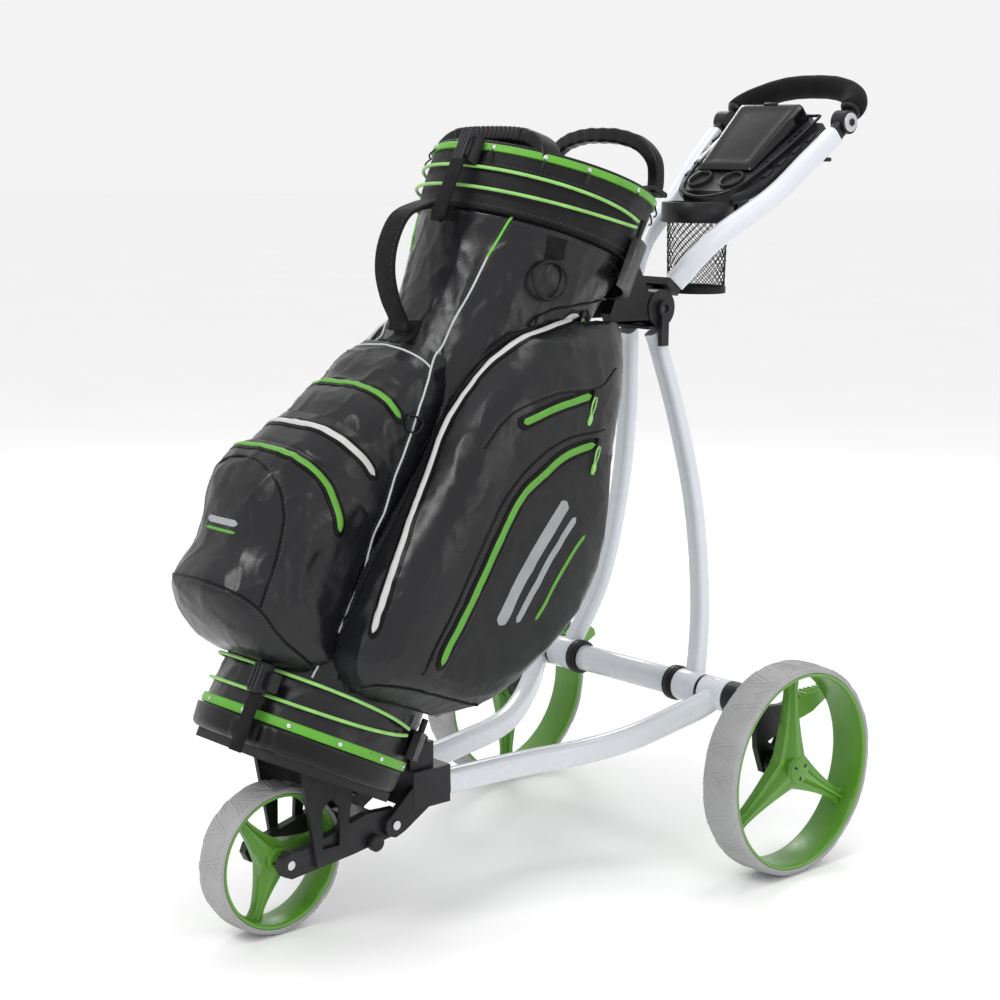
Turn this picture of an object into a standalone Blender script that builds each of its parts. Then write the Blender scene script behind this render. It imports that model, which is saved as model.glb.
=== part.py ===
"""A golf bag standing on a three-wheeled folding push cart.

Metres, +Z up. The pieces are laid out about the rear hubs (Y = 0 there, the front wheel towards -Y,
+X on the walker's left), and one empty shifts the whole object so that its origin is the centre of its footprint.
"""

import math

import bmesh
import bpy
import numpy as np
from mathutils import Matrix, Vector

# Driving dimensions
FOOTPRINT_SHIFT = 0.20125
GAP = 0.0003

REAR_RADIUS = 0.145
REAR_WIDTH = 0.0566
REAR_TRACK = 0.2817  # centre plane of the cart to the middle of a rear wheel
FRONT_RADIUS = 0.0953
FRONT_WIDTH = 0.0472
FRONT_HUB = Vector((0, -0.6566, FRONT_RADIUS))
REAR_HUB_Z = REAR_RADIUS
WHEEL_STEPS = 36

CROSSBAR = Vector((0, -0.024, 0.230))
CROSSBAR_CORE = 0.017
CROSSBAR_END = 0.197
SLEEVE_RADIUS = 0.0225

WHEEL_HINGE = Vector((0.232, -0.024, 0.217))
WHEEL_HINGE_TILT = math.radians(22)
ARM_BORE = 0.0053
ARM_WEB_INNER = 0.2430
AXLE_RADIUS = 0.006

FORK_PIVOT = Vector((0, -0.499, 0.115))
ARM_INNER_X = 0.031
ARM_OUTER_X = 0.0435

UPPER_HINGE = Vector((0, -0.015, 0.752))
GRIP_HINGE = Vector((0, 0.283, 1.010))
GRIP_HALF_SPAN = 0.112

BAG_BASE = Vector((0, -0.624, 0.216))
BAG_LEAN = math.radians(26)
RIM_SLOPE = 0.16
RING_POINTS = 36
SHELL_WALL = 0.007

CONSOLE_FOOT = Vector((0, 0.090, 0.879))
CONSOLE_SLOPE = math.radians(34)
LID_HINGE_Y = 0.088  # along the console from its foot
LID_SLOPE = math.radians(8)

# Shell of the bag, bottom to top: height, half width, half depth, middle, slope of the section
SHELL_SECTIONS = (
    (0.0303, 0.131, 0.131, 0.003, 0.0),
    (0.110, 0.130, 0.131, 0.010, 0.0),
    (0.350, 0.120, 0.124, 0.033, 0.03),
    (0.590, 0.116, 0.122, 0.056, 0.09),
    (0.690, 0.126, 0.136, 0.064, 0.12),
    (0.738, 0.134, 0.146, 0.067, 0.14),
)
CUFF_SECTIONS = (
    (0.7384, 0.137, 0.149, 0.067, 0.14),
    (0.800, 0.142, 0.153, 0.067, 0.16),
    (0.831, 0.143, 0.154, 0.067, RIM_SLOPE),
)

SIDES = (("left", 1), ("right", -1))


def clear_scene():
    for old in list(bpy.data.objects):
        bpy.data.objects.remove(old)


def collection(name):
    made = bpy.data.collections.new(name)
    bpy.context.scene.collection.children.link(made)
    return made


clear_scene()
PIECES = collection("golf_bag_on_push_cart")
CUTTERS = collection("cutters")


def material(name, colour, roughness, metallic=0.0):
    made = bpy.data.materials.new(name)
    made.use_nodes = True
    shader = made.node_tree.nodes["Principled BSDF"]
    shader.inputs["Base Color"].default_value = (*colour, 1)
    shader.inputs["Roughness"].default_value = roughness
    shader.inputs["Metallic"].default_value = metallic
    return made


WHITE = material("white_paint", (0.80, 0.82, 0.85), 0.25)
BLACK = material("black_plastic", (0.02, 0.02, 0.022), 0.45)
GREEN = material("green_plastic", (0.16, 0.42, 0.03), 0.4)
TYRE = material("grey_tyre", (0.34, 0.34, 0.35), 0.7)
STEEL = material("steel", (0.6, 0.6, 0.62), 0.3, 1.0)
FOAM = material("black_foam", (0.015, 0.015, 0.015), 0.95)
NYLON = material("charcoal_nylon", (0.035, 0.036, 0.04), 0.4)
WEBBING = material("black_webbing", (0.02, 0.02, 0.02), 0.8)
BAND = material("green_band", (0.13, 0.45, 0.03), 0.6)
CORD = material("green_cord", (0.40, 0.68, 0.22), 0.6)
NET = material("black_net", (0.02, 0.02, 0.02), 0.6)
SILVER = material("silver_plastic", (0.7, 0.7, 0.7), 0.3, 0.6)


def empty(name, place, parent=None, rotation=(0, 0, 0)):
    made = bpy.data.objects.new(name, None)
    PIECES.objects.link(made)
    made.location = place
    made.rotation_euler = rotation
    made.parent = parent
    return made


CART = empty("cart", (0, FOOTPRINT_SHIFT, 0))
BAG = empty("bag_frame", BAG_BASE, CART, (-BAG_LEAN, 0, 0))
CONSOLE = empty("console_frame", CONSOLE_FOOT, CART, (CONSOLE_SLOPE, 0, 0))


def wheel_hinge(word, side):
    """Frame of a wheel arm's hinge: its Y axis is the hinge's axis."""
    place = (side * WHEEL_HINGE.x, WHEEL_HINGE.y, WHEEL_HINGE.z)
    return empty(f"wheel_hinge_{word}", place, CART, (WHEEL_HINGE_TILT, 0, 0))


HINGES = {word: wheel_hinge(word, side) for word, side in SIDES}


def finish(obj, finish_material, parent=CART):
    """Gives an object its colour, its smooth shading and its frame."""
    for old in list(obj.users_collection):
        old.objects.unlink(obj)
    PIECES.objects.link(obj)
    obj.parent = parent
    if obj.type == "MESH":
        obj.data.materials.clear()
        obj.data.materials.append(finish_material)
        obj.data.shade_smooth()
        obj.data.set_sharp_from_angle(angle=math.radians(35))
    else:
        obj.data.materials.append(finish_material)
    return obj


def from_bmesh(name, bm, paint, parent=CART):
    mesh = bpy.data.meshes.new(name)
    bmesh.ops.recalc_face_normals(bm, faces=bm.faces)
    bm.to_mesh(mesh)
    bm.free()
    obj = bpy.data.objects.new(name, mesh)
    PIECES.objects.link(obj)
    return finish(obj, paint, parent)


def box(name, low, high, paint, parent=CART, bevel=0.0):
    low, high = Vector(low), Vector(high)
    bm = bmesh.new()
    size = Matrix.Diagonal((*(high - low), 1))
    bmesh.ops.create_cube(bm, size=1, matrix=Matrix.Translation((low + high) / 2) @ size)
    obj = from_bmesh(name, bm, paint, parent)
    if bevel:
        edge = obj.modifiers.new("edge", "BEVEL")
        edge.width = bevel
        edge.segments = 2
    return obj


TURN = {"X": Matrix.Rotation(math.pi / 2, 4, "Y"), "Y": Matrix.Rotation(-math.pi / 2, 4, "X"), "Z": Matrix()}


def cylinder(name, centre, radius, length, paint, parent=CART, axis="X", sides=24):
    bm = bmesh.new()
    matrix = Matrix.Translation(centre) @ TURN[axis]
    bmesh.ops.create_cone(
        bm, cap_ends=True, segments=sides, radius1=radius, radius2=radius, depth=length, matrix=matrix
    )
    return from_bmesh(name, bm, paint, parent)


def turned(name, profile, centre, paint, parent=CART, axis="X", steps=WHEEL_STEPS, ring=True):
    """A profile of (radius, height) points turned about an axis through centre, a flat facet downwards."""
    half = math.pi / steps
    bm = bmesh.new()
    points = []
    for radius, height in profile:
        reach = radius / math.cos(half)
        points.append(bm.verts.new((reach * math.cos(half), reach * math.sin(half), height)))
    count = len(points)
    for k in range(count if ring else count - 1):
        bm.edges.new((points[k], points[(k + 1) % count]))
    mesh = bpy.data.meshes.new(name)
    bm.to_mesh(mesh)
    bm.free()
    obj = bpy.data.objects.new(name, mesh)
    obj.matrix_local = Matrix.Translation(centre) @ TURN[axis]
    PIECES.objects.link(obj)
    screw = obj.modifiers.new("turn", "SCREW")
    screw.steps = steps
    screw.render_steps = steps
    screw.use_merge_vertices = True
    screw.merge_threshold = 0.00001
    return finish(obj, paint, parent)


def ring_profile(inner, outer, half_width, round_over=0.0):
    """Closed profile of a ring with its outer edges rounded over, down the outer side first."""
    if not round_over:
        return [(outer, half_width), (outer, -half_width), (inner, -half_width), (inner, half_width)]
    turns = [math.radians(a) for a in (90, 60, 30, 0)]
    upper = [
        (outer - round_over + round_over * math.cos(a), half_width - round_over + round_over * math.sin(a))
        for a in turns
    ]
    lower = [(radius, -height) for radius, height in reversed(upper)]
    return upper + lower + [(inner, -half_width), (inner, half_width)]


def smooth_path(points, spacing):
    """Points along a Catmull-Rom curve through the given ones, about one spacing apart."""
    points = [Vector(p) for p in points]
    padded = [2 * points[0] - points[1], *points, 2 * points[-1] - points[-2]]
    out = [points[0]]
    for a, b, c, d in zip(padded, padded[1:], padded[2:], padded[3:]):
        count = max(1, round((c - b).length / spacing))
        for k in range(1, count + 1):
            t = k / count
            out.append(
                0.5 * (2 * b + (c - a) * t + (2 * a - 5 * b + 4 * c - d) * t**2 + (3 * b - a - 3 * c + d) * t**3)
            )
    return out


def curve(name, points, paint, parent, closed=False):
    data = bpy.data.curves.new(name, "CURVE")
    data.dimensions = "3D"
    spline = data.splines.new("POLY")
    spline.points.add(len(points) - 1)
    for slot, point in zip(spline.points, points):
        slot.co = (*point, 1)
    spline.use_cyclic_u = closed
    data.use_fill_caps = not closed
    obj = bpy.data.objects.new(name, data)
    PIECES.objects.link(obj)
    return finish(obj, paint, parent)


def wire(name, points, radius, paint, parent=CART, spacing=0.02, closed=False, resolution=2):
    obj = curve(name, smooth_path(points, spacing), paint, parent, closed)
    obj.data.bevel_depth = radius
    obj.data.bevel_resolution = resolution
    return obj


def oval_section(name, width, height, corner):
    """Rounded rectangle that a tube or strap sweeps along its path."""
    data = bpy.data.curves.new(name, "CURVE")
    data.dimensions = "2D"
    spline = data.splines.new("POLY")
    corners = [(1, 1, 0), (-1, 1, 90), (-1, -1, 180), (1, -1, 270)]
    points = []
    for sx, sy, start in corners:
        for turn in (0, 45, 90):
            angle = math.radians(start + turn)
            points.append(
                (
                    sx * (width / 2 - corner) + corner * math.cos(angle),
                    sy * (height / 2 - corner) + corner * math.sin(angle),
                )
            )
    spline.points.add(len(points) - 1)
    for slot, (x, y) in zip(spline.points, points):
        slot.co = (x, y, 0, 1)
    spline.use_cyclic_u = True
    obj = bpy.data.objects.new(name, data)
    obj.hide_render = True
    obj.display_type = "WIRE"
    CUTTERS.objects.link(obj)
    return obj


def swept(name, points, width, height, corner, paint, parent=CART, spacing=0.045):
    """A tube or strap of rounded rectangular section, as a mesh whose caps are welded."""
    obj = curve(name, smooth_path(points, spacing), paint, parent)
    obj.data.twist_mode = "Z_UP"
    obj.data.bevel_mode = "OBJECT"
    obj.data.bevel_object = oval_section(f"{name}_section", width, height, corner)
    bpy.context.view_layer.update()
    graph = bpy.context.evaluated_depsgraph_get()
    mesh = bpy.data.meshes.new_from_object(obj.evaluated_get(graph))
    bm = bmesh.new()
    bm.from_mesh(mesh)
    bmesh.ops.remove_doubles(bm, verts=bm.verts, dist=0.00001)
    bpy.data.objects.remove(obj)
    return from_bmesh(name, bm, paint, parent)


def plate(name, outline, low, high, paint, parent=CART):
    """A flat outline of (y, z) points, low to high along X."""
    bm = bmesh.new()
    face = bm.faces.new([bm.verts.new((low, y, z)) for y, z in outline])
    made = bmesh.ops.extrude_face_region(bm, geom=[face])
    risen = [v for v in made["geom"] if isinstance(v, bmesh.types.BMVert)]
    bmesh.ops.translate(bm, vec=(high - low, 0, 0), verts=risen)
    return from_bmesh(name, bm, paint, parent)


def oval(z, half_x, half_y, middle, slope, power=2.0, count=RING_POINTS):
    """One closed section: a superellipse round (0, middle) at height z, tilted fore and aft by slope."""
    out = []
    for k in range(count):
        turn = 2 * math.pi * k / count
        c, s = math.cos(turn), math.sin(turn)
        x = half_x * math.copysign(abs(c) ** (2 / power), c)
        y = half_y * math.copysign(abs(s) ** (2 / power), s)
        out.append(Vector((x, middle + y, z + slope * y)))
    return out


def loft(name, rings, paint, parent=CART):
    """A closed skin over rings that have the same number of points."""
    bm = bmesh.new()
    levels = [[bm.verts.new(p) for p in ring] for ring in rings]
    for low, high in zip(levels, levels[1:]):
        for k in range(len(low)):
            n = (k + 1) % len(low)
            bm.faces.new((low[k], low[n], high[n], high[k]))
    bm.faces.new(levels[0])
    bm.faces.new(levels[-1])
    return from_bmesh(name, bm, paint, parent)


def grown(sections, by, power=2.0):
    return [oval(z, a + by, b + by, middle, slope, power) for z, a, b, middle, slope in sections]


def hide(obj):
    """Turns a shape into a cutter or a helper of a join."""
    for old in list(obj.users_collection):
        old.objects.unlink(obj)
    CUTTERS.objects.link(obj)
    obj.hide_render = True
    obj.display_type = "WIRE"
    return obj


def combine(obj, others, operation):
    for other in others:
        step = obj.modifiers.new(other.name, "BOOLEAN")
        step.operation = operation
        step.object = hide(other)
    return obj


def join(obj, *others):
    return combine(obj, others, "UNION")


def cut(obj, *others):
    return combine(obj, others, "DIFFERENCE")


# Wheels


def wheel(word, centre, radius, width, rim_radius, boss, first_spoke, parent=CART):
    """A grey tyre on a green wheel, whose rim, three spokes and boss are one moulding."""
    bead = rim_radius + GAP
    turned(f"tyre_{word}", ring_profile(bead, radius, width / 2, 0.008), centre, TYRE, parent)
    wall = rim_radius - 0.006
    rim_half = width / 2 - 0.001
    rim = turned(f"rim_{word}", ring_profile(wall, rim_radius, rim_half), centre, GREEN, parent)
    reach = wall + 0.003
    spokes = [cylinder(f"boss_{word}", centre, boss, width * 0.72, GREEN, parent)]
    for k in range(3):
        low = (-width * 0.16, boss * 0.5, -boss * 0.5)
        high = (width * 0.16, reach, boss * 0.5)
        arm = box(f"spoke_{word}_{k}", low, high, GREEN, parent)
        arm.location = centre
        arm.rotation_euler = (math.radians(first_spoke + 120 * k), 0, 0)
        spokes.append(arm)
    bore = cylinder(f"bore_{word}", centre, AXLE_RADIUS + GAP, width * 2, GREEN, parent, sides=16)
    join(rim, *spokes)
    cut(rim, bore)


def rear_wheels():
    for word, side in SIDES:
        centre = Vector((side * REAR_TRACK, 0, REAR_HUB_Z))
        wheel(f"rear_{word}", centre, REAR_RADIUS, REAR_WIDTH, 0.135, 0.019, 90 if side > 0 else 30)


def front_wheel():
    wheel("front", FRONT_HUB, FRONT_RADIUS, FRONT_WIDTH, 0.0865, 0.016, 30)
    cylinder("front_axle", FRONT_HUB, AXLE_RADIUS, 2 * ARM_OUTER_X - 0.002, STEEL, sides=16)


# Crossbar, wheel arms and lower frame


def crossbar():
    core, bar = CROSSBAR_CORE, 0.019
    shoulder = 0.088
    profile = [
        (0, CROSSBAR_END),
        (core, CROSSBAR_END),
        (core, shoulder),
        (bar, shoulder),
        (bar, -shoulder),
        (core, -shoulder),
        (core, -CROSSBAR_END),
        (0, -CROSSBAR_END),
    ]
    turned("crossbar", profile, CROSSBAR, WHITE, steps=24, ring=False)
    bore = CROSSBAR_CORE + GAP
    for word, side in SIDES:
        centre = (side * 0.0964, CROSSBAR.y, CROSSBAR.z)
        turned(f"collar_{word}", ring_profile(bore, 0.0245, 0.0081), centre, BLACK, steps=24)


def sleeved_tube(name, points, size, corner, start, end, side):
    """A bent frame tube whose lower end is welded to a sleeve round the crossbar."""
    bent = [(side * x, y, z) for x, y, z in points]
    tube = swept(name, bent, *size, corner, WHITE)
    middle = (side * (start + end) / 2, CROSSBAR.y, CROSSBAR.z)
    sleeve = cylinder(f"{name}_sleeve", middle, SLEEVE_RADIUS, end - start, WHITE)
    bore = cylinder(f"{name}_bore", middle, CROSSBAR_CORE + GAP, 0.1, WHITE)
    join(tube, sleeve)
    cut(tube, bore)
    return tube


def lower_tubes():
    route = [
        (0.174, -0.030, 0.228),
        (0.163, -0.050, 0.214),
        (0.143, -0.077, 0.198),
        (0.113, -0.130, 0.174),
        (0.085, -0.195, 0.160),
        (0.060, -0.294, 0.156),
        (0.041, -0.4050, 0.151),
    ]
    for word, side in SIDES:
        sleeved_tube(f"lower_tube_{word}", route, (0.025, 0.034), 0.008, 0.152, 0.196, side)


def wheel_arms():
    """Cast arms that fold the rear wheels under the frame, each between two ears on the crossbar's end."""
    for word, side in SIDES:
        hinge = HINGES[word]
        cap = cylinder(
            f"end_bracket_{word}", (side * 0.2075, CROSSBAR.y, CROSSBAR.z), SLEEVE_RADIUS, 0.020, BLACK
        )
        ears = []
        for k, y in enumerate((-0.0185, 0.0185)):
            low, high = sorted((-side * 0.026, 0))
            ears.append(box(f"ear_{word}_{k}", (low, y - 0.004, -0.010), (high, y + 0.004, 0.010), BLACK, hinge))
            ears.append(cylinder(f"ear_end_{word}_{k}", (0, y, 0), 0.010, 0.008, BLACK, hinge, "Y", 16))
        bore = cylinder(f"ear_bore_{word}", (0, 0, 0), ARM_BORE, 0.2, BLACK, hinge, "Y", 16)
        join(cap, *ears)
        cut(cap, bore)
        cylinder(f"wheel_hinge_pin_{word}", (0, 0, 0), 0.005, 0.048, STEEL, hinge, "Y", 16)

        arm = cylinder(f"wheel_arm_{word}", (0, 0, 0), 0.0105, 0.028, BLACK, hinge, "Y", 16)
        inner, outer = sorted((side * ARM_WEB_INNER, side * (ARM_WEB_INNER + 0.009)))
        low, high = sorted((0, side * 0.0125))
        neck = box(f"arm_neck_{word}", (low, -0.0135, -0.0100), (high, 0.0135, 0.0100), BLACK, hinge)
        outline = [(-0.034, 0.212), (-0.012, 0.226), (0.030, 0.222), (0.040, 0.200), (0.016, 0.140), (0.0, 0.127),
                   (-0.016, 0.134), (-0.030, 0.170)]
        web = plate(f"arm_web_{word}", outline, inner, outer, BLACK)
        boss = cylinder(f"arm_boss_{word}", (side * 0.25075, 0, REAR_HUB_Z), 0.017, 0.0155, BLACK)
        window = plate(
            f"arm_window_{word}", [(-0.008, 0.176), (0.022, 0.186), (0.008, 0.166)], inner - 0.02, outer + 0.02, BLACK
        )
        bore = cylinder(f"arm_bore_{word}", (0, 0, 0), ARM_BORE, 0.2, BLACK, hinge, "Y", 16)
        axle_bore = cylinder(
            f"axle_bore_{word}", (side * 0.25, 0, REAR_HUB_Z), AXLE_RADIUS + GAP, 0.1, BLACK, sides=16
        )
        join(arm, neck, web, boss)
        cut(arm, window, bore, axle_bore)
        cylinder(f"rear_axle_{word}", (side * 0.27225, 0, REAR_HUB_Z), AXLE_RADIUS, 0.0565, STEEL, sides=16)


def brake_pedals():
    """Foot pedals behind the wheel arms."""
    for word, side in SIDES:
        inner, outer = sorted((side * (ARM_WEB_INNER - 0.021), side * (ARM_WEB_INNER - 0.0005)))
        outline = [(0.018, 0.198), (0.020, 0.210), (0.056, 0.217), (0.088, 0.226), (0.132, 0.226), (0.136, 0.214),
                   (0.100, 0.196), (0.060, 0.188), (0.030, 0.188)]
        pedal = plate(f"brake_pedal_{word}", outline, inner, outer, GREEN)
        edge = pedal.modifiers.new("edge", "BEVEL")
        edge.width = 0.002
        edge.segments = 1


def front_assembly():
    """Yoke that joins the lower tubes, the fork, the cradle and the tray under the bag."""
    yoke = box("front_yoke", (-0.0535, -0.470, 0.128), (0.0535, -0.408, 0.178), BLACK)
    lugs = []
    for word, side in SIDES:
        low, high = sorted((side * 0.0440, side * 0.0530))
        outline = [(-0.440, 0.130), (-0.440, 0.165), (-0.470, 0.160), (-0.502, 0.1315), (-0.514, 0.122),
                   (-0.5155, 0.112), (-0.510, 0.102), (-0.499, 0.0985), (-0.484, 0.104)]
        lugs.append(plate(f"yoke_lug_{word}", outline, low, high, BLACK))
    pin_bore = cylinder("yoke_bore", FORK_PIVOT, AXLE_RADIUS + GAP, 0.3, BLACK, sides=16)
    join(yoke, *lugs)
    cut(yoke, pin_bore)
    cylinder("fork_pin", FORK_PIVOT, AXLE_RADIUS, 0.110, STEEL, sides=16)

    fork = box("fork", (-0.033, -0.548, 0.094), (0.033, -0.512, 0.128), BLACK)
    for word, side in SIDES:
        low, high = sorted((side * ARM_INNER_X, side * ARM_OUTER_X))
        outline = [(-0.484, 0.120), (-0.492, 0.134), (-0.540, 0.136), (-0.640, 0.111), (-0.6566, 0.1125),
                   (-0.670, 0.106), (-0.6745, 0.095), (-0.668, 0.083), (-0.6566, 0.078), (-0.620, 0.082),
                   (-0.560, 0.088), (-0.500, 0.097), (-0.484, 0.106)]
        join(fork, plate(f"fork_arm_{word}", outline, low, high, BLACK))
    pivot_bore = cylinder("fork_pivot_bore", FORK_PIVOT, AXLE_RADIUS + GAP, 0.3, BLACK, sides=16)
    hub_bore = cylinder("fork_hub_bore", FRONT_HUB, AXLE_RADIUS + GAP, 0.3, BLACK, sides=16)
    cut(fork, pivot_bore, hub_bore)
    ribs = turned(
        "tracking_knob",
        [(0, 0.006), (0.0085, 0.006), (0.011, 0.0035), (0.011, -0.0035), (0.0085, -0.006), (0, -0.006)],
        (ARM_OUTER_X + 0.0068, -0.530, 0.098),
        BLACK,
        steps=20,
        ring=False,
    )
    ribs.data.shade_flat()


def tray_and_cradle():
    tray = box("bag_tray", (-0.070, -0.100, -0.012), (0.070, 0.112, -GAP), BLACK, BAG)
    for word, side in SIDES:
        low, high = sorted((side * (ARM_OUTER_X + GAP), side * 0.0500))
        outline = [(-0.622, 0.086), (-0.578, 0.090), (-0.574, 0.130), (-0.566, 0.1784), (-0.648, 0.2184),
                   (-0.630, 0.130)]
        window = [(-0.614, 0.108), (-0.588, 0.108), (-0.586, 0.155), (-0.600, 0.172), (-0.614, 0.160)]
        join(tray, plate(f"tray_leg_{word}", outline, low, high, BLACK))
        cut(tray, plate(f"leg_window_{word}", window, low - 0.01, high + 0.01, BLACK))

    inner, outer, half = 0.1345, 0.1445, 0.018
    band = []
    for z in (0.066 - half, 0.066 + half):
        arc = [math.radians(a) for a in np.linspace(30, 150, 17)]
        ring = [Vector((outer * math.cos(a), 0.006 + outer * math.sin(a), z)) for a in arc]
        ring += [Vector((inner * math.cos(a), 0.006 + inner * math.sin(a), z)) for a in reversed(arc)]
        band.append(ring)
    cradle = loft("lower_cradle", band, BLACK, BAG)
    block = box("cradle_block", (-0.045, -0.4690, 0.178 + GAP), (0.045, -0.430, 0.212), BLACK)
    link = box("cradle_link", (-0.040, 0.140, 0.030), (0.040, 0.170, 0.084), BLACK, BAG)
    low_side = box("cradle_trim", (-0.1, -0.60, 0.10), (0.1, -0.40, 0.178 + GAP), BLACK)
    hooks = [
        cylinder(f"cradle_hook_{word}", (side * 0.1165, 0.0835, 0.088), 0.0042, 0.026, BLACK, BAG, "Z", 12)
        for word, side in SIDES
    ]
    join(cradle, link, block, *hooks)
    cut(cradle, low_side)


# Uprights and upper hinge


def uprights():
    route = [
        (0.1255, -0.022, 0.234),
        (0.1215, -0.012, 0.252),
        (0.098, 0.018, 0.343),
        (0.074, 0.027, 0.470),
        (0.050, 0.016, 0.590),
        (0.028, -0.006, 0.700),
        (0.0245, -0.0125, 0.7185),
    ]
    for word, side in SIDES:
        sleeved_tube(f"upright_{word}", route, (0.026, 0.022), 0.006, 0.1048, 0.1462, side)


def upper_hinge():
    """Clevis on top of the uprights and the wings that steady the bag's cuff."""
    bore = AXLE_RADIUS + GAP
    bracket = box("upper_bracket", (-0.042, -0.040, 0.7235), (0.042, -0.003, 0.7276), BLACK)
    parts = []
    for word, side in SIDES:
        low, high = sorted((side * 0.0205, side * 0.0420))
        middle = ((low + high) / 2, UPPER_HINGE.y, UPPER_HINGE.z)
        web = [(-0.018, 0.7365), (-0.110, 0.7375), (-0.1145, 0.748), (-0.083, 0.812), (-0.060, 0.812),
               (-0.040, 0.776), (-0.018, 0.7725)]
        parts.append(cylinder(f"clevis_disc_{word}", middle, 0.0265, high - low, BLACK))
        parts.append(plate(f"clevis_web_{word}", web, low + 0.0015, high - 0.0015, BLACK))
    pin_bore = cylinder("clevis_bore", UPPER_HINGE, bore, 0.3, BLACK, sides=16)
    cylinder("upper_hinge_pin", UPPER_HINGE, AXLE_RADIUS, 0.088, STEEL, sides=16)

    inner, outer = 0.1535, 0.1625
    middle, squash, reach = 0.067, 0.93, 66
    rings = []
    for z in (0.700, 0.768):
        arc = [math.radians(a) for a in np.linspace(90 - reach, 90 + reach, 19)]
        ring = [Vector((squash * outer * math.cos(a), middle + outer * math.sin(a), z)) for a in arc]
        ring += [Vector((squash * inner * math.cos(a), middle + inner * math.sin(a), z)) for a in reversed(arc)]
        rings.append([p + Vector((0, 0, 0.14 * (p.y - middle))) for p in ring])
    parts.append(loft("upper_cradle", rings, BLACK, BAG))
    for word, side in SIDES:
        parts.append(
            cylinder(f"upper_hook_{word}", (side * 0.1325, 0.137, 0.784), 0.004, 0.036, BLACK, BAG, "Z", 12)
        )
    join(bracket, *parts)
    cut(bracket, pin_bore)


def hinge_lever():
    """Cam lever that clamps the handle at the upper hinge."""
    lever = box("hinge_lever", (0.0428, -0.022, 0.700), (0.0500, -0.008, 0.752), BLACK)
    head = cylinder("lever_head", (0.0464, UPPER_HINGE.y, UPPER_HINGE.z), 0.0115, 0.0072, BLACK, sides=16)
    bore = cylinder("lever_bore", (0.0464, UPPER_HINGE.y, UPPER_HINGE.z), AXLE_RADIUS + GAP, 0.1, BLACK, sides=16)
    join(lever, head)
    cut(lever, bore)


# Handle


def handle_tubes():
    route = [
        (0.0405, 0.0113, 0.7870),
        (0.0455, 0.0215, 0.7985),
        (0.065, 0.066, 0.846),
        (0.090, 0.156, 0.904),
        (0.104, 0.216, 0.955),
        (0.112, 0.262, 0.991),
    ]
    for word, side in SIDES:
        swept(f"handle_tube_{word}", [(side * x, y, z) for x, y, z in route], 0.022, 0.030, 0.007, WHITE)

    knuckle = cylinder("handle_knuckle", UPPER_HINGE, 0.0240, 0.0400, BLACK)
    along, across = Vector((0, 0.6, 0.8)), Vector((0, 0.8, -0.6))

    def corner(n, t):
        point = UPPER_HINGE + n * along + t * across
        return point.y, point.z

    neck = [corner(0.010, -0.014), corner(0.030, -0.014), corner(0.030, 0.0105), corner(0.010, 0.0105)]
    saddle = [corner(0.0285, -0.017), corner(0.040, -0.017), corner(0.040, 0.011), corner(0.0285, 0.011)]
    neck = plate("knuckle_neck", neck, -0.0185, 0.0185, BLACK)
    spread = plate("knuckle_saddle", saddle, -0.047, 0.047, BLACK)
    bore = cylinder("knuckle_bore", UPPER_HINGE, AXLE_RADIUS + GAP, 0.3, BLACK, sides=16)
    join(knuckle, neck, spread)
    cut(knuckle, bore)
    return knuckle


def console():
    """Moulded console between the handle tubes, with a lid, a bottle ring and a net."""
    low_half, high_half = 0.050, 0.078
    outline = [(-low_half, 0.040), (low_half, 0.040), (high_half, 0.215), (high_half * 0.7, 0.235),
               (-high_half * 0.7, 0.235), (-high_half, 0.215)]
    rings = [[Vector((x, y, z)) for x, y in outline] for z in (-0.012, 0.012)]
    base = loft("console", rings, BLACK, CONSOLE)
    recess = box("console_recess", (-0.046, 0.102, -0.008), (0.046, 0.212, 0.03), BLACK, CONSOLE)

    hinge = empty("lid_hinge", (0, LID_HINGE_Y, 0.0165), CONSOLE, (LID_SLOPE, 0, 0))
    lid_outline = [(-0.050, 0.0), (0.050, 0.0), (0.054, 0.128), (0.038, 0.140), (-0.038, 0.140), (-0.054, 0.128)]
    lid = loft("console_lid", [[Vector((x, y, z)) for x, y in lid_outline] for z in (-0.0015, 0.0045)], BLACK, hinge)
    edge = lid.modifiers.new("edge", "BEVEL")
    edge.width = 0.0015
    edge.segments = 1

    ring_centre = Vector((0, 0.100, 0.884))
    ring = turned("bottle_ring", ring_profile(0.0435, 0.0505, 0.011), ring_centre, BLACK, axis="Z", steps=28)
    bridge = box("ring_bridge", (-0.040, 0.140, 0.878), (0.040, 0.165, 0.900), BLACK)
    join(base, ring, bridge)
    cut(base, recess)

    net = [(0, -0.049), (0.0405, -0.049), (0.0415, 0.0526), (0.0430, 0.0526), (0.0425, -0.053), (0, -0.053)]
    turned("bottle_net", net, (0, 0.100, 0.82), NET, axis="Z", steps=28, ring=False)

    cylinder("pencil", (-0.063, 0.150, 0.0165), 0.0035, 0.085, SILVER, CONSOLE, "Y", 12)


def grip():
    """Foam hand bar on the handle's ends, tilting on two clamped pivots."""
    for word, side in SIDES:
        centre = (side * GRIP_HALF_SPAN, GRIP_HINGE.y, GRIP_HINGE.z)
        socket = cylinder(f"grip_socket_{word}", centre, 0.017, 0.022, BLACK)
        start = Vector((side * 0.112, 0.2636, 0.9925))
        stub = swept(f"socket_stub_{word}", [start, centre], 0.016, 0.024, 0.005, BLACK)
        join(socket, stub)

    half = [(0.109, 0.300, 1.026), (0.105, 0.317, 1.0375), (0.082, 0.337, 1.051), (0.045, 0.346, 1.0605)]
    route = [(-x, y, z) for x, y, z in half] + [(0, 0.348, 1.063)] + half[::-1]
    wire("grip_foam", route, 0.0175, FOAM, spacing=0.018, resolution=3)


# Bag


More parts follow.
